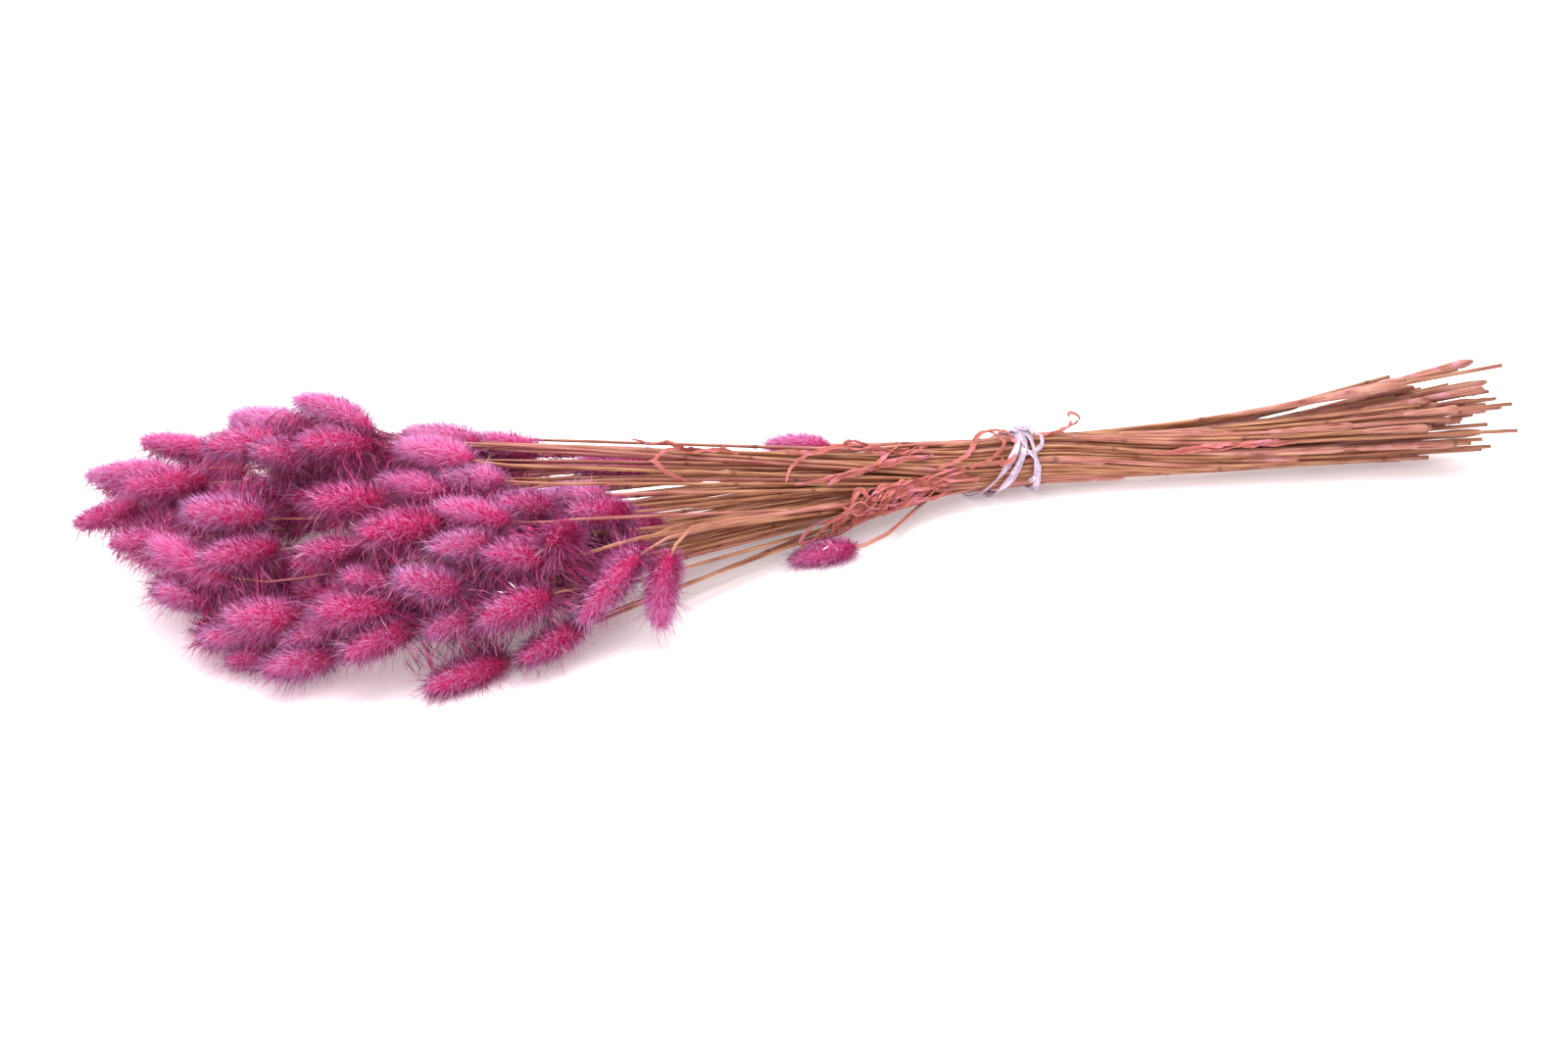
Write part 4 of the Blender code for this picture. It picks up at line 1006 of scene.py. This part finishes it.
def sheath_material(name, paper_stops, dye_colour):
    """A dry leaf sheath, torn and dyed: papery and matt, with veins along it and pale edges.
    Where it is still wrapped round its straw it is duller than where it has torn off."""
    made, tree, shader = start_material(name, {
        "Roughness": 0.75,
        "Specular IOR Level": 0.3,
        "Sheen Weight": 0.15,
    })
    # Veins about 0.4 mm apart across a leaf of 6 mm, and patches about 15 mm long
    paper = ramp(tree, fine_grain(tree, (16, 3), 2.0, 4.0), paper_stops)
    # The dye took unevenly, in patches about 9 mm across
    spot = add_node(tree, "ShaderNodeTexCoord")
    patches = {"Vector": spot.outputs["Object"], "Scale": 110.0, "Detail": 2.0}
    patches = add_node(tree, "ShaderNodeTexNoise", patches)
    share = {"Value": patches.outputs["Fac"], "From Min": 0.54, "From Max": 0.74}
    share = add_node(tree, "ShaderNodeMapRange", share)
    dyed = mix(tree, share.outputs[0], paper, linear(dye_colour))
    tree.links.new(dyed, shader.inputs["Base Color"])
    return made


def elastic_material():
    """A white elastic band of thin rubber threads: smooth, a little glossy, with a lilac cast."""
    made, tree, shader = start_material("white_elastic_cord", {
        "Roughness": 0.4,
        "Specular IOR Level": 0.45,
        "Subsurface Weight": 0.15,
        "Subsurface Scale": 0.002,
    })
    # Fine rubber threads about 0.5 mm apart across the band, and paler where it is stretched
    threads = fine_grain(tree, (6, 14), 1.0, 3.0)
    white = ramp(tree, threads, ((0.3, "#967C98"), (0.5, "#B5A0B4"), (0.68, "#DACDD8")))
    tree.links.new(white, shader.inputs["Base Color"])
    return made


# Fur heads


def core_shape():
    """The dense middle of a head, modelled once: a round body with shallow bumps, read as
    shares along the head and turns round it."""
    bpy.ops.mesh.primitive_uv_sphere_add(segments=14, ring_count=11, radius=1.0)
    core = bpy.context.active_object
    bpy.ops.object.mode_set(mode="EDIT")
    bpy.ops.mesh.select_all(action="SELECT")
    bpy.ops.mesh.quads_convert_to_tris()
    bpy.ops.object.mode_set(mode="OBJECT")
    points = np.array([vertex.co[:] for vertex in core.data.vertices])
    triangles = np.array([face.vertices[:] for face in core.data.polygons])
    bpy.data.objects.remove(core)
    along = 1 - np.arccos(points[:, 2].clip(-1, 1)) / math.pi
    turn = np.arctan2(points[:, 1], points[:, 0])
    return along, turn, triangles


class Head:
    """One head's spine and round frame, from which its fur grows."""

    def __init__(self, layout, head):
        self.neck = layout.neck[head]
        self.tip = layout.tip[head]
        self.rise = layout.side()[head]
        self.across = np.cross(layout.way()[head], self.rise)
        self.bow = layout.arch[head]
        self.half = layout.radius[head] / HEAD_SOLID
        self.length = layout.length[head]

    def spine(self, along):
        along = np.asarray(along, float)[:, None]
        line = self.neck + (self.tip - self.neck) * along
        return line + self.rise * self.bow * 4 * along * (1 - along)

    def way(self, along):
        along = np.asarray(along, float)[:, None]
        return unit((self.tip - self.neck) + self.rise * self.bow * 4 * (1 - 2 * along))

    def out(self, turn):
        turn = np.asarray(turn, float)[:, None]
        return np.cos(turn) * self.rise + np.sin(turn) * self.across

    def surface(self, along, turn, share):
        """Points at a share of the fur's own radius, and the way the fur faces there."""
        along = np.asarray(along, float)
        radius, after, before = (
            profile((along + step).clip(0.002, 0.998)) for step in (0.0, SLOPE_STEP, -SLOPE_STEP)
        )
        slope = (after - before) * self.half / (2 * SLOPE_STEP * self.length)
        out = self.out(turn)
        facing = unit(out - self.way(along) * slope[:, None])
        return self.spine(0.06 + along * 0.84) + out * (self.half * share * radius)[:, None], facing


def grown_places(head, count, dice):
    """Where hairs root: shares along the head, as many as the surface is large there, and turns."""
    grid = np.linspace(0, 1, 201)
    middle = (grid[1:] + grid[:-1]) / 2
    radius = profile(middle) * head.half
    rise = np.diff(profile(grid)) * head.half
    area = radius * np.hypot(rise, head.length / 200)
    total = np.concatenate(([0], np.cumsum(area)))
    along = np.interp(dice.random(count) * total[-1], total, grid)
    return along, dice.random(count) * 2 * math.pi


def side_of(line, facing, roll):
    """Across a hair: its flat faces outwards, turned by its own roll."""
    flat = unit(np.cross(line, facing))
    edge = unit(np.cross(line, flat))
    return flat * np.cos(roll)[:, None] + edge * np.sin(roll)[:, None]


def add_slivers(fur, root, tip, side, shade, normals):
    """Hairs of one triangle, from a base across the root to the tip."""
    fur.add_hairs((root - side, root + side, tip), ((0, 1, 2),), (0.0, 0.0, 1.0), shade, normals)


def add_bent(fur, root, knee, tip, side, shade, normals):
    """Hairs of two triangles that are widest at their knee, where they bend."""
    corners = (root, knee - side, knee + side, tip)
    fur.add_hairs(corners, ((0, 2, 1), (1, 2, 3)), (0.0, 0.5, 0.5, 1.0), shade, normals)


def tangle(fur, layout, head, number, dice):
    """Long fine hairs that reach from one head to each head next to it and cross in the gap;
    a share of them are wide and dark hairs that are painted shade in the gap.
    """
    beads = layout.spine(BEAD_AT)
    half = layout.bead_radius / HEAD_SOLID
    for other in range(layout.count):
        if other == number:
            continue
        gap = gaps(beads[number], beads[other]) - half[number][:, None] - half[other][None]
        mine, theirs = divmod(int(gap.argmin()), BEADS)
        if gap[mine, theirs] > TANGLE_REACH:
            continue
        deep = int(number >= len(HEADS) or other >= len(HEADS))
        count = TANGLE_HAIRS[deep]
        along = (BEAD_AT[mine] + dice.normal(0, 0.16, count)).clip(0.05, 0.98)
        start = head.spine(along)
        aim = beads[other, theirs] + dice.normal(0, 0.75 * half[other, theirs], (count, 3))
        line = unit(aim - start)
        root = start + line * head.half * ROOT_SHARE
        length = lengths(aim - root) * dice.uniform(0.55, 1.1, count)
        length = length.clip(TANGLE_LEAST, TANGLE_MOST) * (1 - 0.5 * line[:, 2].clip(0, 1))
        bow = dice.normal(0, 0.12, (count, 3)) * length[:, None]
        knee = root + line * (length * 0.5)[:, None] + bow
        tip = root + line * length[:, None]
        # A share of the hairs are wide and dark: painted shade between the heads
        shade_hairs = dice.random(count) < TANGLE_SHADE_SHARE[deep]
        width = np.where(shade_hairs, TANGLE_WIDTH, AWN_WIDTH[0])[:, None]
        side = side_of(line, line[:, [1, 2, 0]], dice.uniform(0, WHOLE_TURN, count)) * width / 2
        dark, plain = dice.uniform(0.0, 0.16, count), dice.uniform(*AWN_SHADES, count)
        add_bent(fur, root, knee, tip, side, np.where(shade_hairs, dark, plain), unit(line + bow))


def grow(fur, head, dice, kind, places, length, width, shade, share=ROOT_SHARE):
    """Grow one kind of hair at its places on a head; its shades are drawn last."""
    along, turn = places
    count = len(along)
    root, facing = head.surface(along, turn, share)
    way = head.way(along)
    lean = way * kind.lean * along[:, None] ** kind.rise
    line = unit(facing * kind.out + lean + dice.normal(0, kind.stray, (count, 3)))
    length = dice.uniform(*length, count) * (head.half / PLAIN_HALF) ** kind.grows
    length = (length * (1 - kind.upright * line[:, 2].clip(0, 1)))[:, None]
    knee = root + line * length * kind.knee
    bent = line + way * kind.curl - np.array((0.0, 0.0, kind.sag))
    if kind.bend:
        bent = bent + dice.normal(0, kind.bend, (count, 3))
    tip = knee + unit(bent) * length * (1 - kind.knee)
    side = side_of(line, facing, dice.uniform(*kind.roll, count)) * width / 2
    normals = unit(facing + line * kind.soft)
    if kind.knee:
        add_bent(fur, root, knee, tip, side, shade(along), normals)
    else:
        add_slivers(fur, root, tip, side, shade(along), normals)


def grow_head(fur, layout, number, core):
    """Grow one head: its dense core, short down, longer plush, fine awns and pale husks."""
    dice = np.random.default_rng(900 + number)
    head = Head(layout, number)
    behind = int(number >= len(HEADS))
    own_shade = dice.uniform(*OWN_SHADE[behind])

    def soft_shades(lift, gain, power, stray):
        """A hair's shade is its head's own, paler towards the tip of the head."""
        def shades(along):
            shade = own_shade + lift + gain * along**power
            return (shade + dice.normal(0, stray, len(along))).clip(0, SOFT_SHADES)
        return shades

    def awn_shades(along):
        count = len(along)
        pale = dice.random(count) < 0.25
        shade = np.where(pale, dice.uniform(*PALE_SHADES, count), dice.uniform(*AWN_SHADES, count))
        # Most awns on the heads behind drop to dark shades: painted shade in the depth of the mound
        return shade - 0.55 * behind * (dice.random(count) < 0.7)

    # The core takes the darker root colours, partly painted shade deep in the fur
    along, turn, triangles = core
    points, facing = head.surface(along, turn, CORE_SHARE)
    fur.add(points, triangles, np.tile((own_shade * 0.6, 0.12), (len(points), 1)), facing)

    places = grown_places(head, DOWN_HAIRS[behind], dice)
    width, shades = DOWN_WIDTH[behind], soft_shades(0.0, 0.10, 3, 0.06)
    grow(fur, head, dice, DOWN, places, DOWN_LENGTH, width, shades)

    # The plush takes paler lilac shades, partly a painted sheen round the edge of each head
    places = grown_places(head, PLUSH_HAIRS[behind], dice)
    width, shades = PLUSH_WIDTH[behind], soft_shades(0.14, 0.12, 2, 0.07)
    grow(fur, head, dice, PLUSH, places, PLUSH_LENGTH[behind], width, shades)

    along, turn = grown_places(head, AWNS[behind], dice)
    grow(fur, head, dice, AWN, (along**0.8, turn), AWN_LENGTH, AWN_WIDTH[behind], awn_shades)

    # Dark hairs under the high heads, and all round the ones behind, fill the mound's depth; their
    # dark shades are painted shade
    if behind or head.spine([0.5])[0, 2] > UNDER_FROM:
        count = UNDER_HAIRS[behind]
        along, turn = grown_places(head, count, dice)
        if not behind:
            turn = math.pi + dice.uniform(-1.5, 1.5, count)
        grow(fur, head, dice, UNDER, (along, turn), UNDER_LENGTH, UNDER_WIDTH[behind],
             lambda along: dice.uniform(0.0, 0.24, len(along)))

    tangle(fur, layout, head, number, dice)

    count = 0 if behind else int(dice.poisson(HUSKS))
    if count:
        places = grown_places(head, count, dice)
        grow(fur, head, dice, HUSK, places, HUSK_LENGTH, HUSK_WIDTH,
             lambda along: np.full(len(along), HUSK_SHADE), HUSK_OUT)


def grow_heads(layout, material):
    core = core_shape()
    for name, members in layout.groups():
        fur = Gathered()
        for number in members:
            grow_head(fur, layout, number, core)
        fur.piece("fur_" + name, material, "pink_dyed_fur", [name])


# Paths and tubes


def reach_along(path):
    """How far along a path each of its points lies."""
    return np.concatenate(([0], np.cumsum(lengths(np.diff(path, axis=0)))))


def places_at(path, reach, wanted):
    """The places that lie so far along a path."""
    return np.stack([np.interp(wanted, reach, path[:, axis]) for axis in range(3)], axis=1)


def eased(path, steps):
    """A path with its sharper turns eased."""
    for _ in range(steps):
        path[1:-1] += (path[:-2] + path[2:] - 2 * path[1:-1]) * 0.25
    return path


def smooth_path(points, spacing):
    """A smooth curve through the points, with a place on it at least every spacing."""
    points = np.array(points, float)
    reach = lengths(np.diff(points, axis=0))
    steps = np.diff(points, axis=0) / reach[:, None]
    slope = np.concatenate((steps[:1], steps))
    slope[1:-1] = (steps[:-1] * reach[1:, None] + steps[1:] * reach[:-1, None]) / (
        reach[1:, None] + reach[:-1, None]
    )
    path = []
    for number, size in enumerate(reach):
        start, end = points[number:number + 2]
        leave, arrive = size * slope[number:number + 2]
        count = max(1, math.ceil(size / spacing))
        path += [cubic(at, start, leave, end, arrive) for at in np.arange(count) / count]
    return np.array(path + [points[-1]])


def sweep(path, radii, sides, roll):
    """Rings of points round a path, without twist, and the way that each faces."""
    ups = [np.array((0.0, 0.0, 1.0))]
    way = unit(np.gradient(path, axis=0))
    for line in way:
        ups.append(unit(ups[-1] - line * ups[-1].dot(line)))
    up = np.array(ups[1:])[:, None]
    turn = (np.arange(sides) / sides * 2 * math.pi + roll)[None, :, None]
    out = up * np.cos(turn) + np.cross(way[:, None], up) * np.sin(turn)
    return path[:, None] + out * np.asarray(radii)[:, None, None], out


def tube_triangles(rings, sides, ends=True):
    """The wall of a tube of so many rings, facing outwards, and the caps on its ends."""
    ring = np.arange(rings - 1)[:, None] * sides
    corner = np.arange(sides)[None]
    one, two = ring + corner, ring + (corner + 1) % sides
    three, four = two + sides, one + sides
    walls = (one, two, three), (one, three, four)
    faces = [np.stack(wall, axis=2).reshape(-1, 3) for wall in walls]
    if ends:
        cap = np.array([(corner, corner + 1, sides - 1) for corner in range(sides - 2)])
        faces += [cap[:, ::-1], cap + (rings - 1) * sides]
    return np.concatenate(faces)


def map_across(sides):
    """How far across the map each corner of a ring lies: there and back, so that it has no seam."""
    return np.abs(2 * np.arange(sides) / sides - 1)


# Straws


def full_stem_path(layout, stem):
    """A stem from inside its head to its cut end, with its sharper turns eased."""
    inside = layout.spine([0.25])[stem, 0]
    points = [inside, *layout.stem[stem][::-1], *layout.cut_side(stem)]
    return eased(smooth_path(points, EASE_SPACING), EASE_STEPS)


def with_joints(path, joints):
    """Rings along a stem, closer at its swollen joints, and how much each ring swells."""
    reach = reach_along(path)
    wanted = set(np.linspace(0, reach[-1], round(reach[-1] / RING_SPACING)).tolist())
    wanted |= {joint + off for joint in joints for off in JOINT_RINGS}
    wanted = np.array(sorted(at for at in wanted if 0 <= at <= reach[-1]))
    swell = [np.exp(-((wanted - joint) / JOINT_LENGTH) ** 2) for joint in joints]
    return places_at(path, reach, wanted), wanted, np.max(swell, axis=0)


def make_straws(layout, material):
    """Every straw as one smooth tube with its joints; the cut end is hollow."""
    straws, dye = Gathered(), []
    for stem in range(layout.count):
        dice = random.Random(3000 + stem)
        joints = [at + dice.uniform(-JOINT_STRAY, JOINT_STRAY) for at in JOINT_AT]
        path, reach, swell = with_joints(full_stem_path(layout, stem), joints)
        radii = np.interp(path[:, 0], STRAW_TAPER, STRAW_RADII)
        radii = radii * dice.uniform(0.85, 1.03) * (1 + JOINT_SWELL * swell)
        rings, out = sweep(path, radii, STRAW_SIDES, dice.uniform(0, 3))
        # The wall turns in at the cut end and runs back inside, so that the straw is hollow
        inside = path[-1:] - (path[-1:] - path[-2:-1]) * 0.5
        lip = path[-1:] + out[-1] * radii[-1] * HOLLOW[0], inside + out[-1] * radii[-1] * HOLLOW[1]
        rings = np.concatenate((rings, lip))
        path = np.concatenate((path, path[-1:], inside))
        reach = np.concatenate((reach, reach[-1:], reach[-1:]))
        swell = np.concatenate((swell, (0.0, 0.9)))
        total = len(path)
        u = (stem + 0.1 + 0.8 * map_across(STRAW_SIDES)) / layout.count
        places = np.stack((np.tile(u, total), np.repeat(reach / MAP_LENGTH, STRAW_SIDES)), axis=1)
        straws.add(rings.reshape(-1, 3), tube_triangles(total, STRAW_SIDES), places)
        wave = dice.uniform(0, 6)
        amount = dice.uniform(-0.5, 0.75) + 0.5 * np.sin(reach / dice.uniform(25, 60) + wave)
        near_heads = np.interp(path[:, 0], (-190, -60), (1.2, 0.0))
        amount = (amount + near_heads - (path[:, 0] > 90) * 0.08).clip(0, 1)
        # The joint colour also darkens each straw towards its cut end, from 200 mm on
        joint = np.maximum(swell * 0.8, np.interp(path[:, 0], (200, 290), (0.0, 0.22)))
        colour = np.stack((amount, joint, np.zeros(total), np.ones(total)), axis=1)
        dye.append(np.repeat(colour, STRAW_SIDES, axis=0))
    mesh = straws.piece("straws", material, "dried_stem", ["stems"])
    layer = mesh.color_attributes.new(name="dye", type="FLOAT_COLOR", domain="POINT")
    layer.data.foreach_set("color", np.concatenate(dye).astype(np.float32).ravel())


# Leaf sheaths


def stems_at(paths, x):
    """Where every stem crosses the plane at x, as y and z, with its radius."""
    places = []
    for points, radii in paths:
        for one, two, radius in zip(points, points[1:], radii):
            if one[0] <= x <= two[0]:
                middle = one + (two - one) * (x - one[0]) / (two[0] - one[0])
                places.append((middle[1], middle[2], radius))
                break
    return np.array(places)


def on_bundle(paths, x, turn, lift):
    """A place on the outside of the stems at x and a turn round them, and the way out there."""
    out = np.array((math.cos(math.radians(turn)), math.sin(math.radians(turn))))
    stems = stems_at(paths, x)
    middle = np.median(stems[:, :2], axis=0)
    offset = stems[:, :2] - middle
    reach = (offset * out).sum(axis=1) + stems[:, 2]
    aside = np.abs(offset[:, 1] * out[0] - offset[:, 0] * out[1])
    reach = (reach - np.maximum(0, aside - 1.5) * LEAF_SINK).max()
    flat = middle + out * (reach + lift)
    return np.array((x, *flat)), np.array((0.0, *out))


def over_stems(paths, line, lift):
    """The places on the bundle, and the ways out there, of a line given as x, turn and lift."""
    spots = [on_bundle(paths, x, turn, own + lift) for x, turn, own in line]
    return [np.array(part) for part in zip(*spots)]


def torn_strip(name, paths, places, width, twist, dice):
    """One papery strip over the stems: a grid drawn along the places it passes, cupped across,
    torn narrower and wider along its edges, twisted, and given its thickness."""
    steps = round(STRIP_STEPS * len(places) ** 0.5)
    line = smooth_path(places, STRIP_SPACING)
    reach = reach_along(line)
    line = places_at(line, reach, np.linspace(0, reach[-1], steps + 1))
    middle, face = over_stems(paths, line, STRIP_LIFT)
    middle = eased(middle, 3)
    middle[:, 2] = np.maximum(middle[:, 2], STRIP_FLOOR)
    way = unit(np.gradient(middle, axis=0))
    aside = unit(np.cross(way, face))
    face = np.cross(aside, way)
    bpy.ops.object.select_all(action="DESELECT")
    bpy.ops.mesh.primitive_grid_add(
        x_subdivisions=steps, y_subdivisions=4, size=1.0, calc_uvs=False
    )
    strip = bpy.context.active_object
    strip.name = name
    mesh = strip.data
    layer = mesh.uv_layers.new(name="OFBake")
    for loop in mesh.loops:
        at = mesh.vertices[loop.vertex_index].co
        layer.data[loop.index].uv = (at.y + 0.5, at.x + 0.5)
    phase = dice.uniform(0, 6)
    edges = [(dice.uniform(0.55, 1.1), dice.uniform(0.55, 1.1)) for _ in range(steps + 1)]
    for vertex in mesh.vertices:
        step = round((vertex.co.x + 0.5) * steps)
        share = step / steps
        edge = vertex.co.y * 2
        taper = math.sin(math.pi * (0.05 + 0.9 * share)) ** 0.5
        half = width / 2 * taper * (edges[step][1] if edge > 0 else edges[step][0])
        angle = twist * math.sin(share * 4.5 + phase)
        flat = aside[step] * math.cos(angle) + face[step] * math.sin(angle)
        up = face[step] * math.cos(angle) - aside[step] * math.sin(angle)
        lift = abs(math.sin(angle)) * half * 0.9
        cup = width / 2 * taper * (0.30 + 0.35 * math.sin(share * 8 + phase))
        point = middle[step] + face[step] * lift + flat * edge * half + up * cup * edge * edge
        point = point + up * 0.12 * width * math.sin(edge * 5 + share * 19)
        point[2] = max(point[2], SHRED_FLOOR)
        vertex.co = Vector(at_metres(point))
    solid = strip.modifiers.new("paper", "SOLIDIFY")
    solid.thickness = SHRED_THICK * MM
    solid.offset = 0.0
    bpy.ops.object.modifier_apply(modifier="paper")
    bpy.ops.object.shade_smooth()
    return strip


def make_sheath(paths, number, leaf, material):
    """A torn sheath: shreds that wander along the leaf's line, and strips that stray from it."""
    dice = random.Random(70 + number)
    start, end, turn_start, turn_end, width, wave, curl = leaf
    shreds, wander = SHREDS[number - 1]
    strips = []
    for shred in range(shreds):
        low = dice.uniform(-0.12, 0.25)
        high = dice.uniform(0.7, 1.05)
        places = []
        for share in np.linspace(low, high, SHRED_PLACES).tolist():
            turn = turn_start + (turn_end - turn_start) * share + dice.uniform(-wander, wander)
            lift = 0.4 + dice.uniform(0, wave) + curl * 0.6 * max(0.0, share) ** 4
            places.append((start + (end - start) * share, turn, lift))
        own_width = dice.uniform(0.35, 0.75) * width
        strips.append(torn_strip(f"shred_{number}_{shred}", paths, places, own_width, 1.1, dice))
    own_strips = [strip[1:] for strip in STRAY_STRIPS if strip[0] == number]
    for stray, (own_width, twist, places) in enumerate(own_strips):
        strips.append(torn_strip(f"stray_{number}_{stray}", paths, places, own_width, twist, dice))
    bpy.ops.object.select_all(action="DESELECT")
    for strip in strips:
        strip.select_set(True)
    bpy.context.view_layer.objects.active = strips[0]
    bpy.ops.object.join()
    bpy.ops.object.transform_apply(location=True, rotation=True, scale=True)
    finish_piece(bpy.context.active_object, f"torn_sheath_{number}", material,
                 [f"leaf_sheath_{number}"])


def make_wraps(layout, material):
    """Leaf sheaths that still wrap their straws: thin papery sleeves with torn ends."""
    dice = random.Random(41)
    wraps = Gathered()
    for stem in range(layout.count):
        path = full_stem_path(layout, stem)
        reach = reach_along(path)
        for low, high, chance in WRAP_AT:
            if dice.random() > chance:
                continue
            start = dice.uniform(low, high)
            end = min(start + dice.uniform(*WRAP_LENGTH), reach[-1] - 1)
            if end - start < WRAP_LEAST:
                continue
            middle = places_at(path, reach, np.linspace(start, end, WRAP_RINGS))
            radius = np.interp(middle[:, 0], STEM_TAPER, (NECK_RADIUS, STEM_RADIUS))
            share = np.linspace(0, 1, WRAP_RINGS)
            wave = np.array([dice.uniform(0.92, 1.1) for _ in share])
            radius = radius * (1.15 + (0.4 + 0.9 * (middle[0, 0] > 90)) * share) * wave
            radius[0] *= 0.7
            radius[-1] *= 0.55
            rings, _ = sweep(middle, radius, WRAP_SIDES, dice.uniform(0, 6))
            torn = np.array([dice.uniform(-1, 1) for _ in range(WRAP_SIDES)])
            torn = torn[:, None] * unit(middle[-1] - middle[-2]) * WRAP_TORN
            rings[-2] += torn
            rings[-3] += torn * 0.4
            u = np.tile(map_across(WRAP_SIDES), WRAP_RINGS) * 0.5 + stem % 7 * 0.06
            v = 0.1 + 0.8 * np.repeat(share, WRAP_SIDES) * (end - start) / WRAP_LENGTH[1]
            triangles = tube_triangles(WRAP_RINGS, WRAP_SIDES)
            wraps.add(rings.reshape(-1, 3), triangles, np.stack((u, v), axis=1))
    wraps.piece("straw_wraps", material, "coral_leaf_sheath", [])


# Tie


def ring_path(top, lean):
    """One turn of the band: a slanted cut round the waist, hung from its place under the knot."""
    reach = WAIST_RADIUS + STEM_RADIUS + TIE_GAP + TIE_RADIUS
    points = []
    for step in range(RING_STEPS):
        angle = 2 * math.pi * step / RING_STEPS
        up = math.cos(angle) * reach
        x = top - math.tan(math.radians(lean)) * (reach - up)
        points.append((x, WAIST_Y - math.sin(angle) * reach, WAIST_Z + up))
    return np.array(points)


def add_band(tie, path, faces, width, twists, closed):
    """Add a flat band along a path, as a closed wall, turned about its own line by the twists."""
    if closed:
        path, faces, twists = (np.concatenate((row, row[:1])) for row in (path, faces, twists))
    way = unit(np.gradient(path, axis=0))
    if closed:
        way[0] = way[-1] = unit(way[0] + way[-1])
    aside = unit(np.cross(way, faces))
    face = np.cross(aside, way)
    turn = (np.arange(BAND_SIDES) / BAND_SIDES * 2 * math.pi)[None, :, None]
    cos, sin = np.cos(twists)[:, None], np.sin(twists)[:, None]
    flat = (aside * cos + face * sin)[:, None] * width / 2
    up = (face * cos - aside * sin)[:, None] * BAND_THICK / 2
    rings = path[:, None] + flat * np.cos(turn) + up * np.sin(turn)
    # A band's rings run the other way round than a straw's
    triangles = tube_triangles(len(path), BAND_SIDES, not closed)[:, ::-1]
    u = np.tile(map_across(BAND_SIDES), len(path))
    v = np.repeat(np.linspace(0, 1, len(path)), BAND_SIDES)
    tie.add(rings.reshape(-1, 3), triangles, np.stack((u, v), axis=1))


def make_tie(paths, material):
    """The elastic: three flat turns round the waist, twisted here and there, a small knot on
    top, a bow that lies in front of it and two short ends."""
    tie = Gathered()
    for number, (top, lean) in enumerate(zip(TIE_TOPS, TIE_LEANS)):
        path = ring_path(top, lean)
        out = unit((path - (0, WAIST_Y, WAIST_Z)) * (0, 1, 1))
        round_it = np.arange(len(path)) / len(path) * 2 * math.pi
        twists = 0.9 * np.sin(2 * round_it + number * 2.1)
        path = path + out * (np.abs(np.sin(twists)) * 0.5)[:, None]
        add_band(tie, path, out, BAND_WIDTH, twists, True)
    for places, width in TIE_ENDS:
        path, out = over_stems(paths, smooth_path(places, 2.0), BAND_THICK)
        twists = 0.5 * np.sin(np.linspace(0, 5, len(path)))
        add_band(tie, eased(path, 2), out, width, twists, False)
    tie.piece("elastic_tie", material, "white_elastic", ["tie"])


# Studio


def make_studio():
    """A white table with a painted pink cast close under the heads, a broad soft light above it and
    a pale surround.
    """
    bpy.ops.object.select_all(action="DESELECT")
    bpy.ops.mesh.primitive_plane_add(size=14.0)
    table = bpy.context.active_object
    table.name = "pale_table"
    made, tree, shader = start_material("painted_white_table", {
        "Roughness": 0.7,
        "Specular IOR Level": 0.2,
        "Emission Color": linear("#FFF2F7"),
        "Emission Strength": 0.2,
    })
    # Painted light: the pink cast that the dyed heads throw on the table close under them, about
    # 120 mm round
    spot = add_node(tree, "ShaderNodeTexCoord")
    moved = {"Vector": spot.outputs["Object"], "Location": CAST_MOVED, "Scale": CAST_SCALE}
    moved = add_node(tree, "ShaderNodeMapping", moved)
    cast = {"Vector": moved.outputs[0]}
    cast = add_node(tree, "ShaderNodeTexGradient", cast, gradient_type="SPHERICAL")
    tinted = mix(tree, cast.outputs["Fac"], linear("#F6F2F5"), linear("#F0C3D6"))
    tree.links.new(tinted, shader.inputs["Base Color"])
    table.data.materials.append(made)
    world = bpy.data.worlds.new("studio_surround")
    bpy.context.scene.world = world
    world.use_nodes = True
    surround = world.node_tree.nodes["Background"]
    surround.inputs["Color"].default_value = linear("#FFFFFF")
    surround.inputs["Strength"].default_value = SURROUND
    for name, place, size, power in LAMPS:
        lamp = bpy.data.lights.new(name, "AREA")
        lamp.shape = "SQUARE"
        lamp.size = size
        lamp.energy = power
        thing = linked_object(name, lamp)
        thing.location = place
        way = Vector(LAMPS_AIM) - Vector(place)
        thing.rotation_euler = way.to_track_quat("-Z", "Y").to_euler()


def make_camera():
    lens = bpy.data.cameras.new("camera")
    lens.lens = CAMERA_LENS
    lens.sensor_width = 36.0
    camera = linked_object("camera", lens)
    turn, fall = math.radians(CAMERA_TURN), math.radians(CAMERA_FALL)
    level = math.cos(fall)
    line = Vector((math.sin(turn) * level, math.cos(turn) * level, -math.sin(fall)))
    camera.location = CAMERA_AT
    camera.rotation_euler = line.to_track_quat("-Z", "Y").to_euler()
    bpy.context.scene.camera = camera


def main():
    bpy.ops.object.select_all(action="DESELECT")
    bpy.context.scene.view_settings.view_transform = "Standard"
    make_camera()
    make_studio()
    layout = Layout()
    layout.settle()
    grow_heads(layout, dyed_fur_material())
    make_straws(layout, straw_material())
    paths = [layout.stem_path(stem) for stem in range(layout.count) if stem not in STRAYS]
    torn = ((0.28, "#7C2520"), (0.5, "#B86057"), (0.72, "#D68D82"))
    sheath = sheath_material("dry_leaf_sheath", torn, "#CE788C")
    wrapped = ((0.28, "#71332A"), (0.5, "#A8695A"), (0.72, "#C49480"))
    wrap = sheath_material("wrapped_leaf_sheath", wrapped, "#BD7F88")
    for number, leaf in enumerate(LEAVES, start=1):
        make_sheath(paths, number, leaf, sheath)
    make_wraps(layout, wrap)
    make_tie(paths, elastic_material())


main()
